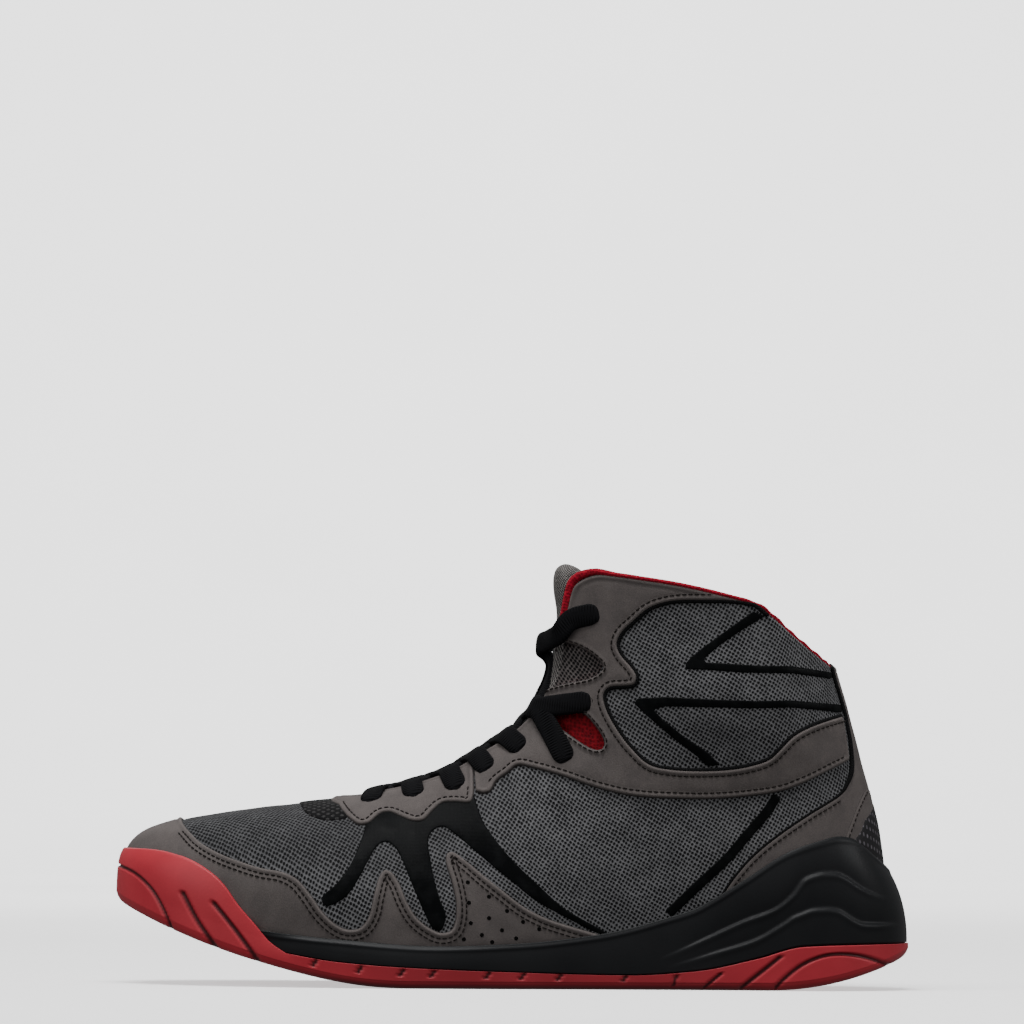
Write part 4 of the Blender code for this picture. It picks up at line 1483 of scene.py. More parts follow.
# For each row of eyelets: how the lace leans, where it crosses, how far it stands off the tongue
LEANS = (0, 4, 4, 4, 6, -14, 22, 14)
CROSSINGS = (0.5, 0.5, 0.5, 0.5, 0.5, 0.4, 0.5, 0.16)
STAND_OUT = (0.0, 0.0, 0.0, 0.0, -0.8, -1.8, -1.8, 3.4)
# Each ring of a stitch: how far along it, its radius and its height
STITCH = ((-0.9, 0.15, -0.25), (-0.55, 0.28, 0.1), (0.55, 0.28, 0.1), (0.9, 0.15, -0.25))


def ribbon(line: Sequence, width: float) -> Array:
    """Closed outline of a band of even width along a side-view line.

    Args:
        line: corners of the band's middle line.
        width: its width.

    Returns:
        Corners of the outline.
    """
    p = np.asarray(line, float)
    along = unit(np.diff(p, axis=0))
    side = np.stack([-along[:, 1], along[:, 0]], 1)
    reach = [side[0] * width / 2]
    for a, b in zip(side[:-1], side[1:]):
        between = a + b
        reach.append(between * width / max(between @ between, 0.8))
    reach.append(side[-1] * width / 2)
    reach = np.array(reach)
    return np.concatenate([p + reach, (p - reach)[::-1]])


def grown(corners: Sequence, by: float) -> Array:
    """Closed side-view outline moved outwards.

    Args:
        corners: its corners in order, the first one not repeated.
        by: distance.

    Returns:
        The moved corners, the first one repeated.
    """
    p = np.array(corners, float)
    along = unit(np.roll(p, -1, 0) - p)
    side = np.stack([along[:, 1], -along[:, 0]], 1)
    turning = np.sum(p[:, 0] * np.roll(p[:, 1], -1) - p[:, 1] * np.roll(p[:, 0], -1))
    both = side + np.roll(side, 1, 0)
    p = p + np.sign(turning) * by * both * 2 / np.maximum((both ** 2).sum(1), 1.6)[:, None]
    return np.concatenate([p, p[:1]])


@dataclass
class Upper:
    """Mesh shell with its lining, the suede and film panels on it, and their trim."""

    last: Last
    shell_columns: int = 576
    shell_rows: int = 76
    suede: float = 1.0
    thin: float = 0.55
    film: float = 0.35
    strap: float = 0.3
    net: float = 0.45
    patch: float = 0.25
    gusset: float = 0.3
    gusset_depth: float = 2.2
    strip_width: float = 3.8
    window_cord: tuple = (1.7, 1.3, 0.25)
    heel_cord: tuple = (2.6, 1.5, 0.35)
    heel_cord_thins: float = 70.0
    punch: float = 0.78
    rear_x: float = 238.0
    rear_run: float = 14.0

    def chains(self) -> None:
        """Put the side patterns on the chart."""
        last = self.last
        self.top_window = float(last.find(WINDOW_TOP)[0, 0])
        self.heel_top = float(last.find(HEEL_TOP)[0, 0])
        self.notches = []
        for corners in (UPPER_NOTCH, LOWER_NOTCH):
            notch = last.trace(corners, 0.8)
            self.notches.append(np.concatenate([[[notch[0, 0], 1.0]], notch, [[notch[-1, 0], 1.0]]]))
        self.band_low = last.trace(BAND_LOW)
        self.window = last.trace(WINDOW)
        self.heel_front = last.trace(HEEL_FRONT)
        self.heel_strap = last.trace(HEEL_STRAP)
        self.mudguard = last.trace(MUDGUARD, 1.0)
        self.eyestay = last.trace(EYESTAY)

    def band_outline(self) -> Array:
        """Outline of the suede band from the throat round the collar window to the heel.

        Returns:
            Places of the outline.
        """
        last = self.last
        high, low = self.notches
        throat_end = float(last.find(THROAT_FOOT)[0, 0])
        rolled = last.edge(self.top_window, high[0, 0], 0.984)
        along = (rolled[:, 0] - rolled[0, 0]) / (rolled[-1, 0] - rolled[0, 0])
        rolled[:, 1] += 0.004 * ease(along * 2.2 - 1.0)
        between = last.edge(high[-1, 0], low[0, 0])
        return np.concatenate([self.band_low, self.window, rolled, high, between, low,
                               last.edge(low[-1, 0], throat_end)])

    def over_toe(self, side: Array, ridge_x: float, count: int, share: float) -> Array:
        """Closed outline that runs over the toe from one side to the other.

        Args:
            side: its line on the outer side, as places of the chart.
            ridge_x: where it crosses the toe's middle line.
            count: points along it.
            share: share of the wall along which it closes.

        Returns:
            Places of the outline.
        """
        line = np.concatenate([side, [self.last.ridge(ridge_x)], mirrored(side)])
        line = curve(line * CHART, count) / CHART
        return np.concatenate([line, self.last.edge(line[-1, 0], line[0, 0], share)])

    def round_heel(self, side: Array) -> Array:
        """Closed outline that runs round the back of the heel, its low edge behind the midsole."""
        low = self.last.edge(side[-1, 0], -side[-1, 0], 0.2)
        return np.concatenate([side, low, mirrored(side) - (2.0, 0.0)])

    def rear(self, foot: Array) -> Array:
        """Share of the collar's low rear at wall lines that start at given x."""
        return ease((foot - self.rear_x) / self.rear_run)

    def shell(self) -> bpy.types.Object:
        """Outer mesh, red lining and the rims between them, open at the notches.

        Returns:
            The upper's main piece.
        """
        last = self.last
        n, m = self.shell_columns, self.shell_rows
        turn = np.arange(n) * 2.0 / n
        share = np.linspace(0.0, 1.0, m)
        place = np.stack(np.meshgrid(turn, share, indexing="ij"), -1)
        foot = last.footprint(turn)[:, 0]
        bound = 0.008 * ease((foot - 200.0) / 10.0) + 0.009 * self.rear(foot)
        place[..., 1] *= 1.0 - bound[:, None]
        keep = np.ones((n, m - 1), bool)
        middle = place[:, :-1] + (1.0 / n, 0.5 / (m - 1))
        for notch in self.notches:
            for loop in (notch, mirrored(notch)):
                cut = inside(middle.reshape(-1, 2) * CHART, loop * CHART).reshape(n, m - 1)
                keep &= ~cut
                gone = np.zeros((n, m), bool)
                for i, k in zip(*np.nonzero(cut)):
                    gone[[i, (i + 1) % n, i, (i + 1) % n], [k, k, k + 1, k + 1]] = True
                for i, k in zip(*np.nonzero(gone)):
                    touching = keep[[i, i - 1], max(k - 1, 0)].any() or keep[[i, i - 1], min(k, m - 2)].any()
                    if touching:
                        near = np.linalg.norm((loop - place[i, k]) * CHART, axis=1)
                        place[i, k] = loop[int(near.argmin())]
        outer, normal = last.at(place)
        inner = outer - normal * last.wall(outer)[..., None]
        inner[:, 0, 2] = outer[:, 0, 2]
        points = np.concatenate([outer.reshape(-1, 3), inner.reshape(-1, 3)])
        number = np.arange(n * m).reshape(n, m)
        faces, wear = [], []
        deep = n * m
        for i, k in zip(*np.nonzero(keep)):
            j = (i + 1) % n
            a, b, c, d = number[i, k], number[j, k], number[j, k + 1], number[i, k + 1]
            faces += [(d, c, b, a), (a + deep, b + deep, c + deep, d + deep)]
            wear += [0, 1]
            rims = ((k + 1 == m - 1 or not keep[i, k + 1], c, d), (k and not keep[i, k - 1], a, b),
                    (not keep[j, k], b, c), (not keep[i - 1, k], d, a))
            for opens, first, second in rims:
                if opens:
                    faces.append((first, second, second + deep, first + deep))
                    wear.append(1)
        # Painted shade: the mesh over the forefoot darkens where it faces up, and the finish reads this from
        # the rim.
        flat_top = np.clip(np.concatenate([normal[..., 2].ravel()] * 2), 0.0, 1.0)
        painted_top_shade = 0.5 * ease((flat_top - 0.15) / 0.6) * (1 - ease((points[:, 0] - 120.0) / 60.0))
        piece = make_piece("upper_mesh_shell", points, faces, [MESH, LINING], last.cloth(points),
                           painted_top_shade, wear)
        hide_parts("upper")
        return piece

    def panels(self) -> None:
        """Lay on the suede and film panels."""
        last = self.last
        guard = self.over_toe(self.mudguard, MUDGUARD_RIDGE, 900, 0.0)
        stay = self.over_toe(self.eyestay, EYESTAY_RIDGE, 500, 1.0)
        band = self.band_outline()
        front = np.concatenate([[[self.heel_top, 1.0]], self.heel_front])
        back = mirrored(front) - (2.0, 0.0)
        heel = np.concatenate([front, last.edge(front[-1, 0], back[0, 0], 0.0), back,
                               last.edge(back[-1, 0], front[0, 0])])
        film = last.trace(WEB_FILM + WEB_FILM[:1], 0.9)[:-1]
        rim = last.trace(VENT_EDGE)
        vent = np.concatenate([[last.ridge(VENT_RIDGE)], rim, last.edge(rim[-1, 0], 1.0)])
        gussets = []
        for notch in self.notches:
            wide = notch.mean(0) + (notch - notch.mean(0)) * 1.3
            wide[:, 1] = np.minimum(wide[:, 1], 1.0)
            gussets.append([wide, mirrored(wide)])
        bars = []
        for chevron in CHEVRONS:
            place = np.minimum(last.find(even(grown(chevron, 0.3), 1.0))[:-1], (1.0, 0.985))
            bars += [place, mirrored(place)]
        strip = ribbon(curve(REAR_STRIP, 30), self.strip_width)
        strip = last.find(even(np.concatenate([strip, strip[:1]]), 1.0))[:-1]
        folded, pressed = EdgeKind.FOLDED, EdgeKind.PRESSED
        sheets = (
            Panel("toe_guard_suede", [guard], SUEDE, self.suede, folded),
            Panel("eyestay_suede", [stay], SUEDE, self.suede, folded),
            Panel("ankle_band_suede", [band, mirrored(band)], SUEDE, self.suede, folded, 0.1),
            Panel("heel_counter_suede", [heel], SUEDE, self.thin),
            Panel("heel_back_strap_suede", [self.round_heel(self.heel_strap)], SUEDE, self.strap, pressed,
                  self.thin - 0.1),
            Panel("side_web_film", [film, mirrored(film)], FILM, self.film, pressed),
            Panel("vamp_vent_net", [np.concatenate([vent, mirrored(vent)])], VENT, self.net, pressed),
            Panel("upper_notch_gusset", gussets[0], SHADED_NOTCH_MESH, self.gusset, pressed, -self.gusset_depth),
            Panel("lower_notch_gusset", gussets[1], GUSSET, self.gusset, pressed, -self.gusset_depth),
            Panel("heel_patch_dotted", [self.round_heel(last.trace(HEEL_PATCH))], DOTTED, self.patch,
                  pressed, self.thin + 0.1),
            Panel("collar_chevron_film", bars, FILM, self.film, pressed),
            Panel("rear_strip_film", [strip, mirrored(strip)], FILM, self.film, pressed),
        )
        for sheet in sheets:
            sheet.build(last)

    def tube(self, name: str, lines: Sequence, finish: Finish, wide: float, thick: float, lift: float,
             thin_below: float = 0.0) -> None:
        """Lay cords along lines of the chart.

        Args:
            name: piece name.
            lines: rows of places, one line each.
            finish: the cord's finish.
            wide: width of the cord.
            thick: its thickness.
            lift: height of its middle over the outer face.
            thin_below: height over the floor under which the cord thins out to a seam.
        """
        parts = []
        for line in lines:
            points, normals = self.last.at(even(line, 0.9, self.last.at(line)[0]))
            share = 0.38 + 0.62 * ease((points[:, 2] - thin_below) / 12.0)
            parts.append(sweep(points + normals * lift, normals, wide * share, thick * share, 8))
        make_joined(name, parts, finish)

    def trim(self) -> None:
        """Piping round the window, heel piping and the rolled red collar edge."""
        last = self.last
        window = np.concatenate([self.window, [[self.top_window, 0.974]]])
        heel = np.concatenate([[[self.heel_top, 0.985]], self.heel_front])
        self.tube("window_piping", [window, mirrored(window)], PIPING, *self.window_cord)
        self.tube("heel_piping", [heel, mirrored(heel)], PIPING, *self.heel_cord, self.heel_cord_thins)
        front = float(last.turn_at(Flank.OUTER, 191.0))
        collar = last.edge(-front, front)
        points, normals = last.at(collar)
        wall = last.wall(points)
        inner = unit(np.cross(np.gradient(points, axis=0), normals))
        inner *= np.sign(inner[len(inner) // 2, 2]) or 1.0
        foot = last.footprint(collar[:, 0])[:, 0]
        rear = self.rear(foot)
        ahead = (1 - rear) * (1 - ease((foot - 202.0) / 12.0))
        thick = 1.9 + 1.9 * ahead + 0.3 * rear
        sunk = 0.5 * thick + 0.9 - 2.85 * ahead - 1.15 * rear + 0.25 * rear * np.sin(foot * 1.1)
        path = points - normals * (wall * 0.5 - 0.25 + 0.5 * rear)[:, None] - inner * sunk[:, None]
        spots, faces, uv = sweep(path, inner, wall + 2.6 - 2.2 * rear, thick, 16, square=2.6)
        make_piece("collar_red_binding", spots, faces, [LINING], uv)

    def offset(self, line: Array, inset: float) -> Array:
        """A line of places moved sideways along the face.

        Args:
            line: rows of places.
            inset: distance to the left of its run, seen from outside.

        Returns:
            The moved line.
        """
        points, normals = self.last.at(line)
        side = unit(np.cross(normals, unit(np.gradient(points, axis=0))))
        return self.last.shift(self.last.shift(line, side * inset / 2), side * inset / 2)

    def stitches(self, name: str, rows: Sequence, pitch: float = 2.3) -> None:
        """Sew rows of short raised stitches.

        Args:
            name: piece name.
            rows: (line of places, height over the face) pairs.
            pitch: distance from stitch to stitch.
        """
        sides = 6
        ring = np.arange(sides) * math.tau / sides
        run = np.repeat((-0.85, -0.5, 0.5, 0.85), sides)
        uv = np.stack([run, np.tile(ring * 0.3, len(STITCH))], 1)
        quads = grid_faces(len(STITCH), sides, closed=True)
        parts = []
        for line, height in rows:
            points, normals = self.last.at(even(line, pitch, self.last.at(line)[0]))
            along = unit(np.gradient(points, axis=0))
            side = np.cross(normals, along)
            for p, n, t, s in zip(points, normals, along, side):
                around = s[None] * np.cos(ring)[:, None] + n[None] * np.sin(ring)[:, None]
                body = [p + t * where + n * (height + rise) + around * size for where, size, rise in STITCH]
                parts.append((np.concatenate(body), quads, uv))
        make_joined(name, parts, THREAD)

    def sew(self) -> None:
        """Sew every panel along its edges, on both sides."""
        high = self.suede - 0.05
        low_heel = self.heel_front[int(len(self.heel_front) * 0.36):]
        seams = [(self.mudguard, 2.3, high), (self.mudguard, 3.9, high + 0.2), (self.eyestay, -2.3, high),
                 (self.band_low[8:-2], 2.3, high + 0.1), (self.window[:-14], 2.3, high + 0.1)]
        seams += [(notch[1:-1], 1.0, high + 0.45) for notch in self.notches]
        seams += [(low_heel, 1.9, self.thin + 0.1), (self.heel_strap, 1.6, self.thin + 0.15)]
        rows = []
        for seam, inset, height in seams:
            line = self.offset(seam, inset)
            rows += [(line, height), (mirrored(line), height)]
        self.stitches("seam_stitches", rows)

    def punches(self) -> None:
        """Punched holes of the toe guard as near-black dished discs of painted shade, set in both sides."""
        parts = []
        spots = self.last.find(PUNCHES)
        for place in np.concatenate([spots, mirrored(spots)]):
            point, normal = (found[0] for found in self.last.at(place[None]))
            centre = point + normal * (self.suede + 0.08)
            points = np.concatenate([centre + circle(normal, 10) * self.punch, [centre - normal * 0.02]])
            faces = [((i + 1) % 10, i, 10) for i in range(10)]
            parts.append((points, faces, self.last.cloth(points)))
        make_joined("toe_guard_punch_shade", parts, HOLE_SHADE)

    def build(self) -> None:
        """Make the shell, panels, trim and seams."""
        self.chains()
        self.shell()
        self.panels()
        self.trim()
        self.sew()
        self.punches()


# Lines moulded in the sole, seen from the side
TOE_CUTS = (
    ((-4.0, 45.5), (0.4, 43.9), (6.7, 40.9), (12.7, 35.4), (16.5, 29.4), (22.0, 17.0)),
    ((24.7, 33.6), (30.3, 23.2), (37.5, 13.0)),
    ((36.3, 30.0), (44.2, 20.3), (53.0, 8.5)),
)
EDGE_TICKS = (74.1, 91.0, 106.7, 118.3, 138.9, 152.0, 165.8, 190.2)
HEEL_CUTS = (
    ((208.3, 0.5), (209.5, 4.2)),
    ((219.8, 0.0), (226.0, 5.2)),
    ((233.4, -0.2), (248.2, 11.6)),
    ((246.6, 0.2), (249.3, 3.1), (255.7, 8.3), (261.0, 11.0), (266.5, 12.6), (273.7, 12.9), (280.8, 11.8),
     (290.5, 8.6)),
)
WAVE_HIGH = (
    (200, 10.5), (206.3, 13.1), (220.5, 19.6), (234.7, 26.1), (245.6, 30.3), (251.9, 35.6), (256.4, 41.5),
    (259.4, 42.8), (263.2, 43.6), (266.8, 43.5), (270, 41.9), (273.5, 39.0), (277, 36.6), (280.7, 35.0),
    (296, 33.0),
)
WAVE_LOW = (
    (200, 7.0), (209.6, 9.8), (224.2, 14.4), (238.5, 19.0), (248.6, 24.9), (251.9, 27.4), (254.6, 28.6),
    (258.7, 30.2), (263.2, 30.5), (266.3, 30.1), (269.4, 28.1), (271.7, 26.3), (274.4, 25.0),
    (278.9, 24.8), (284.3, 24.9), (296, 24.6),
)
FLEX_GROOVES = (74.0, 91.0, 106.5, 118.0, 139.0, 152.0, 166.0, 190.0, 208.0)


@dataclass
class SoleUnit:
    """Red outsole with its toe wrap, sculpted black midsole, and the sockliner inside."""

    last: Last
    columns: int = 760
    lip_edge: float = 1.8
    ledge: float = 0.5
    wrap_edge: float = 2.2
    seam: float = 0.4
    cut_depth: float = 0.95
    groove_depth: float = 1.3
    cut_widths: tuple = (0.45, 0.7, 0.7, 0.5, 0.5, 0.6, 0.55)
    tick_width: float = 0.55
    wrap_x: float = 44.0
    wall_bend: float = 2.2

    def __post_init__(self) -> None:
        """Work out the lines of the sole around the shoe."""
        last = self.last
        self.turn = np.arange(self.columns) * 2.0 / self.columns
        self.plan = last.footprint(self.turn)
        self.x = self.plan[:, 0]
        self.out = last.outward(self.turn)
        self.lines = last.walls(self.turn)
        self.bed = last.footbed(self.x)
        self.tray = last.tray(self.x)
        self.flare = line_at(FLARE, self.x)
        self.wrapped = 1 - ease((self.x - self.wrap_x) / 30.0)
        rise = np.maximum(line_at(LIP_LINE, self.x) - self.bed, 0.0)
        self.lip = self.bed + rise * ease((self.x - self.wrap_x) / 8.0)
        self.covered = 1 - ease((self.x - 38.0) / 16.0)
        self.rim = np.maximum(np.where(self.x < 66, line_at(WRAP_LINE, self.x), 0), self.tray)

    def ring(self, height: Array, out: Array) -> Array:
        """Ring around the upper at given heights, moved outward.

        Args:
            height: heights, one or one for each column.
            out: distances outward, likewise.

        Returns:
            Points of the ring.
        """
        ring = np.empty((self.columns, 3))
        height = np.broadcast_to(height, self.columns)
        for i, line in enumerate(self.lines):
            ring[i, 0] = np.interp(height[i], line[:, 2], line[:, 0])
            ring[i, 1] = np.interp(height[i], line[:, 2], line[:, 1])
        ring[:, :2] += self.out * np.broadcast_to(out, self.columns)[:, None]
        ring[:, 2] = height
        return ring

    def low_ring(self, out: Array, rise: float) -> Array:
        """Ring at the rolled lower edge of the outsole.

        Args:
            out: distances outward from the footbed's edge.
            rise: share of the way up the edge.

        Returns:
            Points of the ring.
        """
        xy = self.plan + self.out * np.broadcast_to(out, self.columns)[:, None]
        low = self.last.bottom(xy[:, 0], xy[:, 1])
        height = low + rise * np.minimum(self.rim - low, 5.0)
        return np.concatenate([xy, height[:, None]], 1)

    def cap(self, ring: Array, columns: int, height: Callable, start: int, flip: bool = False) -> tuple:
        """Sheet across the shoe inside a ring.

        Args:
            ring: points of the ring, from the heel round.
            columns: rows of points between the two sides.
            height: function of x and y that gives the sheet's height.
            start: number of the sheet's first point in the piece.
            flip: turns the sheet to face down.

        Returns:
            Points of the sheet, and its quads.
        """
        half = self.columns // 2
        outer = ring[1:half]
        inner = ring[:half:-1]
        t = np.linspace(0.0, 1.0, columns)[None, :, None]
        sheet = outer[:, None] * (1 - t) + inner[:, None] * t
        middle = height(sheet[..., 0], sheet[..., 1])
        edge = np.minimum(t[..., 0], 1 - t[..., 0]) * np.linalg.norm(outer - inner, axis=1)[:, None]
        sheet[..., 2] += (middle - sheet[..., 2]) * ease(edge / 1.5)
        return sheet.reshape(-1, 3), grid_faces(half - 1, columns, start, flip=flip)

    def midsole_out(self, share: Array) -> Array:
        """How far the midsole stands out, from its foot (0) to its lip (1).

        Args:
            share: share of the way up.

        Returns:
            Distances outward from the upper.
        """
        foot = (self.flare - self.ledge) * (1 - self.wrapped)
        lip = self.lip_edge * (1 - self.covered)
        return foot + (lip - foot) * np.clip(share, 0, 1) ** self.wall_bend

    def cuts(self, rings: Array) -> Array:
        """How deep the moulded cuts are at points of the outsole's wall, from 0 to 1.

        Args:
            rings: rings of points.

        Returns:
            One depth for each point.
        """
        near_side = rings * (1.0, 0.0, 1.0) - np.abs(rings) * (0.0, 1.0, 0.0)
        flat = self.last.seen(near_side).reshape(-1, 2)
        deep = np.zeros(len(flat))
        lines = [curve(line, 30) for line in TOE_CUTS]
        lines += [curve(line, 30) if len(line) > 2 else np.array(line) for line in HEEL_CUTS]
        widths = list(self.cut_widths)
        for x in EDGE_TICKS:
            middle = float(self.last.tray(np.array(x)) + self.last.spring(np.array(x))) / 2 + 0.6
            lines.append(np.array([[x + 0.6, middle + 0.9], [x - 0.6, middle - 0.9]]))
            widths.append(self.tick_width)
        for line, width in zip(lines, widths):
            near = np.abs(flat[:, 0] - line[:, 0].mean()) < np.ptp(line[:, 0]) / 2 + 5
            far = segment_distance(flat[near], line)
            deep[near] = np.maximum(deep[near], np.exp(-(far / (width * 1.25)) ** 4))
        return deep.reshape(rings.shape[:2])

    def outsole(self) -> None:
        """Bottom with its flex grooves, rolled edge, wall with moulded cuts, and toe wrap."""
        last = self.last
        rolled = ((4.5, 0.0), (2.6, 0.04), (1.3, 0.16), (0.5, 0.36), (0.2, 0.55))
        keys = [self.low_ring(self.flare - back, rise) for back, rise in rolled]
        start = keys[-1][:, 2]
        top_out = self.wrap_edge * self.wrapped + self.flare * (1 - self.wrapped)
        bottom_rows = curve(np.array(keys), 12)
        rows = []
        for t in np.linspace(0.0, 0.985, 56)[1:]:
            height = start + (self.rim - start) * t
            out = self.flare + (top_out - self.flare) * t * t
            rows.append(self.ring(height, out))
        roll = np.clip((self.rim - start) * 0.015, 0.05, 0.6)
        for down, back in ((0.35, 0.15), (0.1, 0.4), (0.0, 0.9)):
            rows.append(self.ring(self.rim - roll * down, top_out - back))
        for t in (1.0, 0.5, 0.0):
            height = self.tray + (self.rim - self.tray) * t
            share = (height - self.tray) / np.maximum(self.lip - self.tray, 0.1)
            out = np.minimum(self.midsole_out(share) + 0.35 + 0.4 * self.wrapped, top_out - 1.2)
            rows.append(self.ring(height - 0.05, out))
        rings = np.concatenate([bottom_rows, np.array(rows)])
        deep = self.cuts(rings)
        # The rolled rim and the rows behind it have no cuts.
        deep[-6:] = 0.0
        rings[..., :2] -= self.out[None] * (self.cut_depth * deep)[..., None]
        sheet, quads = self.cap(rings[0], 40, self.tread, len(rings) * self.columns, True)
        points = np.concatenate([rings.reshape(-1, 3), sheet])
        faces = grid_faces(len(rings), self.columns, closed=True, flip=True) + quads
        # Painted shade: the rolled lower edge darkens towards the floor, the low strip along the waist
        # darkens, and cuts and tread grooves darken with their depth.
        low = last.bottom(rings[..., 0], rings[..., 1])
        grime_and_painted_shade = 0.95 * (1 - ease((rings[..., 2] - low) / 3.4)) * ease((rings[..., 0] - 55.0) / 40.0)
        grime_and_painted_shade *= 1 - 0.6 * ease((rings[..., 0] - 215.0) / 40.0)
        waist = 0.3 * ease((rings[..., 0] - 70.0) / 50.0) * (1 - ease((rings[..., 0] - 205.0) / 40.0))
        grime_and_painted_shade = np.maximum(grime_and_painted_shade, waist * (rings[..., 2] < last.tray(rings[..., 0]) + 0.5))
        rim = np.concatenate([np.maximum(deep, grime_and_painted_shade).ravel(), self.tread_depth(sheet[:, 0], sheet[:, 1])])
        piece = make_piece("outsole_red_rubber", points, faces, [RED_RUBBER], None, rim)
        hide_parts("outsole")

    def tread_depth(self, x: Array, y: Array) -> Array:
        """Share of the groove depth at points under the sole: flex grooves and herringbone.

        Args:
            x: places along the shoe.
            y: places across it.

        Returns:
            The share at each place.
        """
        deep = np.zeros(np.shape(x))
        for at in FLEX_GROOVES:
            deep = np.maximum(deep, np.exp(-((x - at) / 1.3) ** 4))
        zigzag = np.abs((y / 9.0) % 2.0 - 1.0) * 6.0
        lines = np.cos((x + zigzag) * math.tau / 6.0)
        return np.maximum(deep, 0.6 * ease((lines - 0.45) / 0.4))

    def tread(self, x: Array, y: Array) -> Array:
        """Height of the tread under the sole."""
        return self.last.bottom(x, y) + self.groove_depth * self.tread_depth(x, y)

    def midsole(self) -> None:
        """Side wall with two wave ledges at the heel, and the lip against the upper."""
        foot = self.tray + self.seam
        start = self.midsole_out(0.0)
        rows = [self.ring(self.tray - 1.0, start - 2.0), self.ring(foot, start - 0.5)]
        high, low = line_at(WAVE_HIGH, self.x), line_at(WAVE_LOW, self.x)
        fade_high = ease((self.x - 200.0) / 30.0) * (1 - ease((self.x - 272.0) / 11.0))
        fade_low = ease((self.x - 204.0) / 30.0) * (1 - ease((self.x - 277.0) / 9.0))
        lip = self.lip_edge * (1 - self.covered)
        for share in np.linspace(0.0, 1.0, 64):
            z = foot + (self.lip - foot) * share
            out = lip + (start - lip) * (1 - share ** self.wall_bend)
            for line, fade, deep in ((high, fade_high, 1.4), (low, fade_low, 1.2)):
                over = z - line
                out -= fade * deep * ease(over / 1.1 + 0.5) * np.exp(-np.maximum(over, 0.0) / 7.5)
                out += fade * 0.25 * np.exp(-((over + 1.0) / 1.2) ** 2)
            out = np.maximum(out, lip * 0.72)
            bead = 0.35 * np.exp(-((self.lip - z - 1.4) / 0.8) ** 2) * (1 - self.wrapped)
            rows.append(self.ring(z, out + bead))
        rows.append(self.ring(self.lip + 0.15, lip - 0.5))
        rows.append(self.ring(self.lip + 0.05, 0.35 * (1 - self.wrapped) - 1.5 * self.wrapped))
        rows.append(self.ring(self.lip - 3.0, -0.4 - 1.2 * self.wrapped))
        rings = np.array(rows)
        faces = grid_faces(len(rings), self.columns, closed=True, flip=True)
        # Painted shade: the foot of the midsole wall, where it tucks into the outsole, darkens towards the
        # shade colour.
        painted_foot_shade = np.zeros(rings.shape[:2])
        painted_foot_shade[:3] = 0.8
        piece = make_piece("midsole_black_foam", rings.reshape(-1, 3), faces, [BLACK_FOAM],
                           rim=painted_foot_shade.ravel())
        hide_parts("midsole")

    def sockliner(self) -> None:
        """Foam sockliner with a soft dish for the heel and a raised arch."""
        last = self.last
        low = self.bed + 0.3
        rounded = ((0.0, -3.0), (2.2, -3.0), (3.4, -3.4), (3.9, -4.2), (4.0, -5.2))
        rings = np.array([self.ring(low + up, out) for up, out in rounded])

        def top(x: Array, y: Array) -> Array:
            """Height of the foot's bed."""
            dish = 0.9 * np.exp(-((x - 246.0) / 30.0) ** 2 - (y / 22.0) ** 2)
            return last.footbed(x) + 4.3 - dish

        sheet, quads = self.cap(rings[-1], 24, top, len(rings) * self.columns)
        points = np.concatenate([rings.reshape(-1, 3), sheet])
        faces = grid_faces(len(rings), self.columns, closed=True, flip=True) + quads
        piece = make_piece("sockliner_red_knit", points, faces, [SOCK], points[:, :2])
        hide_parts("insole")

    def build(self) -> None:
        """Make the outsole, midsole and sockliner."""
        self.outsole()
        self.midsole()
        self.sockliner()


@dataclass
class Throat:
    """Places across the front opening: its edges and the tongue's outer line between them."""

    last: Last
    crown: float = 0.54
    gap: float = 0.6
    reach: tuple = (250.0, 40.0)

    def __post_init__(self) -> None:
        """Keep the upper's face on both sides of the opening."""
        self.face = {}
        for flank in Flank:
            turn = np.linspace(*(float(self.last.turn_at(flank, x)) for x in self.reach), 300)
            share = np.linspace(0.3, 0.995, 140)
            place = np.stack(np.meshgrid(turn, share, indexing="ij"), -1).reshape(-1, 2)
            self.face[flank] = self.last.at(place)

    def edge(self, flank: Flank, foot_x: float, back: float) -> tuple:
        """Place on the upper straight back from its edge.

        Args:
            flank: side of the shoe.
            foot_x: where the wall line starts at the footbed.
            back: distance from the edge.

        Returns:
            The point and its outward normal.
        """
        turn = float(self.last.turn_at(flank, foot_x))
        point = self.last.top_line(np.array([turn]))[0, :3]
        ahead = self.last.top_line(np.array([turn + 0.01, turn - 0.01]))[:, :3]
        along = unit(ahead[0] - ahead[1])
        points, normals = self.face[flank]
        offset = points - point
        miss = np.abs(np.linalg.norm(offset, axis=1) - max(back, 2.0)) + 2.0 * np.abs(offset @ along)
        found = int(np.argmin(miss))
        return (point if back == 0.0 else points[found]), normals[found]

    def section(self, foot_x: float, wing: float = 11.0) -> Array:
        """Line across the tongue's outer face, from one wing under the upper to the other.

        Args:
            foot_x: where the wall lines start at the footbed.
            wing: how far it reaches under the upper.

        Returns:
            Points of the line.
        """
        ends = []
        for flank in Flank:
            lap = []
            for back in (wing, wing * 0.5, 0.0):
                point, normal = self.edge(flank, foot_x, back)
                lap.append(point - normal * (float(self.last.wall(point)) + self.gap))
            ends.append((lap, unit(lap[2] - lap[1])))
        (lap0, t0), (lap1, t1) = ends
        p0, p1 = lap0[2], lap1[2]
        pull = self.crown * np.linalg.norm(p1 - p0)
        middle = []
        for t in (0.0, 0.2, 0.4, 0.6, 0.8, 1.0):
            middle.append(p0 * (1 + 2 * t) * (1 - t) ** 2 + t0 * pull * t * (1 - t) ** 2
                          + p1 * t * t * (3 - 2 * t) + t1 * pull * t * t * (1 - t))
        return np.array(lap0[:2] + middle + lap1[1::-1])


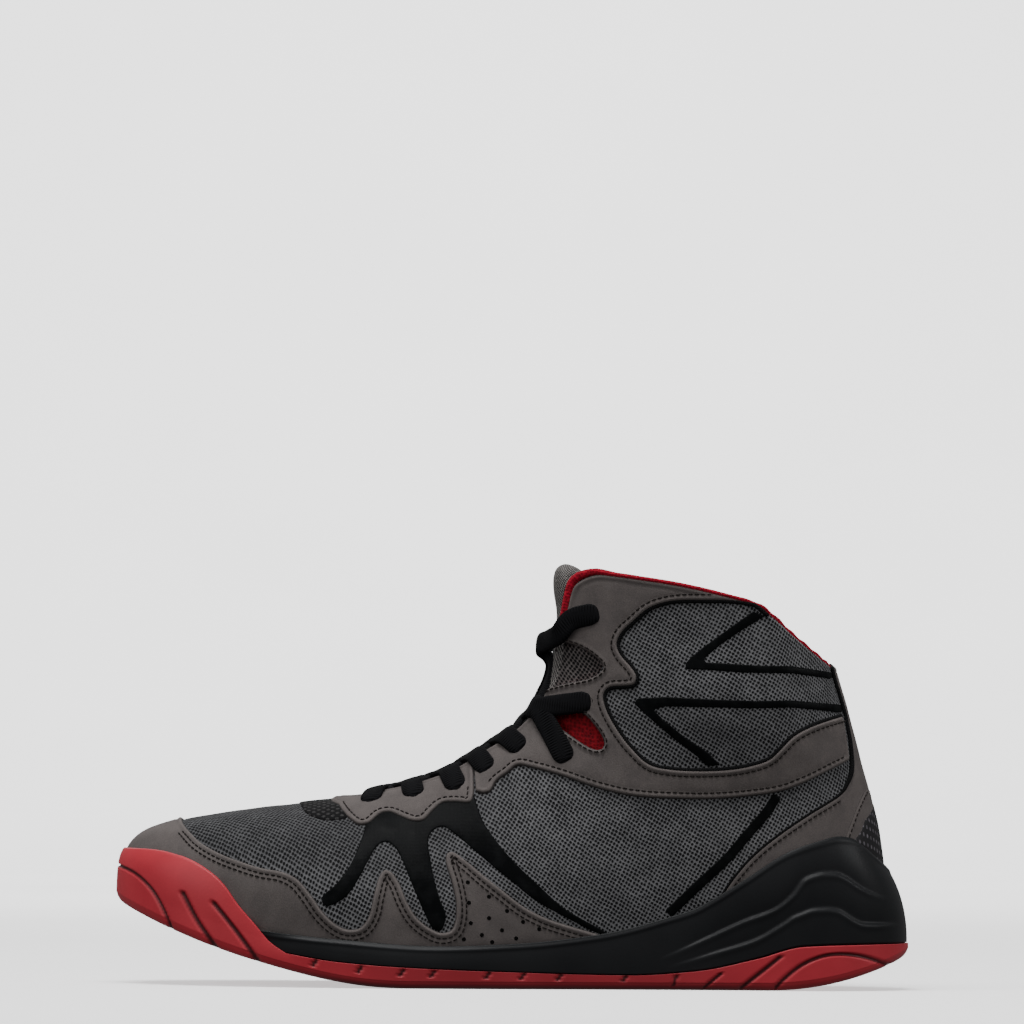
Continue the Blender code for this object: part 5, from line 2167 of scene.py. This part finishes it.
# Rows of the tongue's rolled top: share of its width, shift, and fall at the sides
TONGUE_TOP = ((0.99, (-1.2, 0.0, 9.0), 0.0), (0.96, (-1.3, 0.0, 14.0), 0.5), (0.91, (-0.2, 0.0, 17.2), 1.2),
              (0.82, (2.2, 0.0, 18.7), 2.2), (0.70, (5.2, 0.0, 18.5), 3.2))


@dataclass
class Tongue:
    """Padded mesh tongue with a bound top edge and a red lining behind it."""

    throat: Throat
    rows: tuple = (64.0, 78.0, 93.0, 108.0, 123.0, 138.0, 152.0, 164.0, 174.0, 184.0, 194.0)
    thickness: float = 5.0
    along: int = 110
    across: int = 48
    hem: float = 1.2
    length: float = 150.0
    half_width: float = 30.0

    def face(self) -> Array:
        """Outer face of the tongue as a grid, rows from the toe end up.

        Returns:
            Points of the grid.
        """
        rows = [self.throat.section(x) for x in self.rows]
        rows.insert(0, rows[0] + np.array([-9.0, 0.0, -2.4]))
        top = rows[-1]
        across = np.linspace(-1.0, 1.0, len(top))
        for reach, shift, fall in TONGUE_TOP:
            columns = [np.interp(across * reach, across, top[:, k]) for k in range(3)]
            raised = np.stack(columns, 1) + np.array(shift)
            raised[:, 2] -= fall * np.abs(across) ** 3
            rows.append(raised)
        grid = curve(np.array(rows), self.along)
        return curve(grid.transpose(1, 0, 2), self.across).transpose(1, 0, 2)

    def build(self) -> None:
        """Make the padded tongue, lined in red and rolled at its top edge."""
        grid = self.face()
        normal = unit(np.cross(np.gradient(grid, axis=1), np.gradient(grid, axis=0)))
        # Near its middle the outer face has to look up and forward.
        middle = normal[60, 24]
        normal *= np.sign(middle[2] - middle[0]) or 1.0
        v = np.linspace(-1, 1, self.across)[None]
        u = np.linspace(0, 1, self.along)[:, None]
        full = (1 - np.abs(v) ** 6) * (1 - np.clip((u - 0.93) / 0.07, 0, 1) ** 2.5) * ease(u / 0.12)
        thick = self.hem + (self.thickness - self.hem) * full
        puff = 0.5 * full * (1 - v ** 2)
        outer = grid + normal * (puff - 0.4 * (1 - full))[..., None]
        inner = grid - normal * thick[..., None]
        points = np.concatenate([outer.reshape(-1, 3), inner.reshape(-1, 3)])
        n, m = self.along, self.across
        deep = n * m
        front = grid_faces(n, m, flip=True)
        back = grid_faces(n, m, deep)
        number = np.arange(deep).reshape(n, m)
        border = np.concatenate([number[0], number[1:, -1], number[-1, -2::-1], number[-2:0:-1, 0]])
        sides = [[a, b, b + deep, a + deep] for a, b in zip(border, np.roll(border, -1))]
        run = np.stack(np.broadcast_arrays(u * self.length, v * self.half_width), -1).reshape(-1, 2)
        rolled = range(m + n - 2, 2 * m + n - 3)
        wear = [0] * len(front) + [1] * len(back) + [int(i not in rolled) for i in range(len(sides))]
        piece = make_piece("tongue_padded_mesh", points, front + back + sides, [TONGUE_MESH, LINING],
                           np.concatenate([run, run]), wear=wear)
        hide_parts("tongue")


@dataclass
class Lacing:
    """Flat oval lace, out through each eyelet, over the tongue and under the other side."""

    last: Last
    throat: Throat
    wide: float = 8.2
    thick: float = 2.4
    lift: float = 1.8
    step: float = 0.33
    reach: tuple = (196.0, 66.0)
    edge_points: int = 300
    eyelet_sides: int = 20

    def runs(self) -> dict:
        """Where the lace lies from each eyelet to the throat's edge, for both sides.

        Returns:
            Points, normals and the wall line's start, for each side and eyelet.
        """
        places = self.last.find(EYELETS)
        found = {}
        for flank in Flank:
            ends = [float(self.last.turn_at(flank, x)) for x in self.reach]
            line = np.stack([np.linspace(*ends, self.edge_points), np.ones(self.edge_points)], 1)
            top = self.last.at(line)[0]
            for k, place in enumerate(places):
                if flank is Flank.INNER:
                    place = np.array([2.0 - place[0], place[1]])
                point = self.last.at(place[None])[0][0]
                near = int(np.argmin(np.linalg.norm(top - point, axis=1)))
                edge = line[min(near + LEANS[k], self.edge_points - 1)]
                t = np.array([0.0, 0.55, 1.0])[:, None]
                spots, normals = self.last.at(place + (edge - place) * t)
                foot_x = float(self.last.footprint(edge[:1])[0, 0])
                found[flank, k] = spots, normals, foot_x
        return found

    def strand(self, path: Sequence, lifts: Sequence, both: bool = False) -> tuple:
        """Lace mesh along points, the thin way along the lifts.

        Args:
            path: points of the lace's middle line.
            lifts: direction of the thin way at each.
            both: rounds off both ends, not only the first.

        Returns:
            Points, faces and cloth coordinates.
        """
        joined = curve(np.concatenate([np.array(path), np.array(lifts) * 6.0], 1), 400)
        line = even(joined, self.step, joined[:, :3])
        run = np.arange(len(line)) * self.step
        from_end = np.minimum(run, run[-1] - run) if both else run
        round_off = np.sqrt(1 - (1 - np.clip((from_end - 1.9) / 4.3, 0.0, 1.0)) ** 2)
        width = self.wide * (0.12 + 0.88 * round_off)
        return sweep(line[:, :3], unit(line[:, 3:]), width, self.thick, 16, 0.025, 1.0, 2.8)

    def build(self) -> None:
        """Make the bar, each crossing and the eyelets that they run through."""
        runs = self.runs()
        for k in range(len(EYELETS)):
            parts = []
            halves = []
            for over, (flank, other) in enumerate(((Flank.OUTER, Flank.INNER), (Flank.INNER, Flank.OUTER))):
                spots, normals, foot_x = runs[flank, k]
                far_spots, far_normals, far_x = runs[other, max(k - 1, 0)]
                middle_x = foot_x + (far_x - foot_x) * CROSSINGS[k]
                section = self.throat.section(middle_x)
                centre = (section[4] + section[5]) / 2
                ahead = self.throat.section(middle_x + 2)[4]
                up = unit(np.cross(section[5] - section[4], ahead - section[4]))
                up = up * (1.0 if up[2] - up[0] > 0 else -1.0)
                cross = centre + up * (self.lift + STAND_OUT[k] + (0.7 if over == 0 else -1.0))
                path = [spots[0] - normals[0] * 2.5, spots[0] + normals[0] * 0.6]
                path += [p + n * self.lift for p, n in zip(spots[1:], normals[1:])]
                path += [path[-1] * 0.45 + cross * 0.55 + up * 0.3, cross]
                turned = unit(normals[0] + unit(spots[0] - spots[-1]))
                lifts = [turned, normals[0]] + list(normals[1:]) + [up, up]
                halves.append((path, lifts))
                if k:
                    under = far_spots[-1] - far_normals[-1] * 3.2
                    share = 0.24 if STAND_OUT[k] > 0 else 0.55
                    dive = cross + (far_spots[-1] + far_normals[-1] - cross) * share
                    dive = dive + up * (0.3 - 1.2 * max(STAND_OUT[k], 0.0))
                    path += [dive, under, far_spots[1] - far_normals[1] * 4.6]
                    lifts += [up, far_normals[-1], far_normals[1]]
                    parts.append(self.strand(path, lifts))
            name = f"lace_cross_{k}" if k else "lace_bar"
            if k == 0:
                (path0, lift0), (path1, lift1) = halves
                parts.append(self.strand(path0 + path1[-2::-1], lift0 + lift1[-2::-1], True))
            piece = make_joined(name + "_woven", parts, LACE)
            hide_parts(name)
        self.eyelets(runs)

    def eyelets(self, runs: dict) -> None:
        """Punched eyelets as near-black domed discs of painted shade where the lace goes in.

        Args:
            runs: where the lace lies, by side and eyelet.
        """
        parts = []
        rings = ((2.0, 0.8), (1.95, 1.03), (1.85, 1.06), (1.7, 1.05), (1.5, 1.04))
        sides = self.eyelet_sides
        rim, hub = (len(rings) - 1) * sides, len(rings) * sides
        for spots, normals, _ in runs.values():
            centre, normal = spots[0], normals[0]
            around = circle(normal, sides)
            points = [centre + normal * height + around * radius for radius, height in rings]
            points = np.concatenate(points + [[centre + normal * 1.06]])
            faces = grid_faces(len(rings), sides, closed=True, flip=True)
            faces += [(rim + (i + 1) % sides, rim + i, hub) for i in range(sides)]
            parts.append((points, faces, self.last.cloth(points)))
        make_joined("eyelet_hole_shade", parts, HOLE_SHADE)


class Lamp(NamedTuple):
    """A soft square lamp: where it hangs and points in metres, its side, its watts and its shadow."""

    name: str
    place: tuple
    aim: tuple
    size: float
    power: float
    shadow: bool = True


LAMPS = (
    Lamp("overhead", (-0.2, -0.3, 1.7), (0.0, 0.0, 0.0), 1.0, 33.0),
    Lamp("toe_side", (-1.5, -0.9, 0.9), (-0.05, 0.0, 0.05), 0.9, 9.0),
    Lamp("front", (0.2, -2.0, 0.8), (0.0, 0.0, 0.06), 1.2, 2.8),
    Lamp("heel_side", (1.35, -0.35, 0.8), (0.12, 0.0, 0.04), 0.5, 7.5, False),
    Lamp("inner_side", (-0.3, 1.9, 1.0), (0.0, 0.0, 0.06), 1.0, 6.0, False),
    Lamp("backdrop", (0.0, 2.5, 2.6), (0.0, 4.4, 0.7), 1.6, 150.0),
)


@dataclass
class Studio:
    """White floor, soft lights and the camera at the photograph's angle."""

    pixel: float = 295.0 / 788.0
    far: float = 3000.0
    eye_z: float = 80.0
    roll: float = math.radians(0.5)
    frame_pixels: int = 1024
    toe_pixel: int = 117
    floor_pixel: int = 988
    half_sole: float = 147.5
    level_x: float = 250.0
    sensor: float = 36.0
    cove_start: float = 3.2
    cove_radius: float = 1.2

    def camera(self) -> None:
        """Set the camera level with the shoe and tilt it up until the shoe lies low in the frame."""
        data = bpy.data.cameras.new("camera")
        camera = bpy.data.objects.new("camera", data)
        bpy.context.scene.collection.objects.link(camera)
        middle = self.frame_pixels // 2
        width = self.frame_pixels * self.pixel
        x = (middle - self.toe_pixel) * self.pixel - self.half_sole
        lean = math.tan(self.roll)
        z = (self.floor_pixel - middle) * self.pixel - (self.level_x - (x + self.half_sole)) * lean
        data.sensor_width = self.sensor
        data.lens = self.sensor * self.far / width
        data.clip_end = 20.0
        x -= (z - self.eye_z) * lean
        camera.location = (x * MM, -self.far * MM, self.eye_z * MM)
        camera.rotation_euler = (math.pi / 2 + math.atan((z - self.eye_z) / self.far), 0.0, 0.0)
        camera.rotation_euler.rotate_axis("Z", self.roll)
        bpy.context.scene.camera = camera

    def hang(self, lamp: Lamp) -> None:
        """Hang one soft square lamp.

        Args:
            lamp: the lamp.
        """
        data = bpy.data.lights.new(lamp.name, "AREA")
        data.shape = "SQUARE"
        data.size = lamp.size
        data.energy = lamp.power
        data.use_shadow = lamp.shadow
        hung = bpy.data.objects.new(lamp.name, data)
        hung.location = lamp.place
        hung.rotation_euler = (Vector(lamp.aim) - Vector(lamp.place)).to_track_quat("-Z", "Y").to_euler()
        bpy.context.scene.collection.objects.link(hung)

    def cove(self) -> None:
        """Lay the floor, which curves up into the backdrop far behind the shoe."""
        line = [(-5.0, 0.0), (0.0, 0.0)]
        for a in np.linspace(0, math.pi / 2, 24):
            line.append((self.cove_start + math.sin(a) * self.cove_radius,
                         self.cove_radius - math.cos(a) * self.cove_radius))
        line.append((4.4, 5.0))
        points = [(x, y, z) for y, z in line for x in (-6.0, 6.0)]
        mesh = bpy.data.meshes.new("floor")
        mesh.from_pydata(points, [], grid_faces(len(line), 2))
        mesh.materials.append(FLOOR.make())
        mesh.shade_smooth()
        floor = bpy.data.objects.new("floor", mesh)
        # The shoe is lit by the lamps alone, so the bright floor keeps its light to itself.
        floor.visible_diffuse = False
        floor.visible_glossy = False
        bpy.context.scene.collection.objects.link(floor)

    def build(self) -> None:
        """Set the floor, the world, the lamps and the camera."""
        world = bpy.data.worlds.new("studio")
        bpy.context.scene.world = world
        world.use_nodes = True
        sky = world.node_tree.nodes["Background"]
        sky.inputs["Color"].default_value = linear("#ffffff")
        sky.inputs["Strength"].default_value = 0.22
        self.cove()
        for lamp in LAMPS:
            self.hang(lamp)
        self.camera()


def main() -> None:
    """Build the shoe piece by piece."""
    logging.basicConfig(level=logging.INFO, format="%(message)s")
    last = Last()
    Studio().build()
    SoleUnit(last).build()
    Upper(last).build()
    throat = Throat(last)
    Tongue(throat).build()
    Lacing(last, throat).build()


if __name__ == "__main__":
    main()
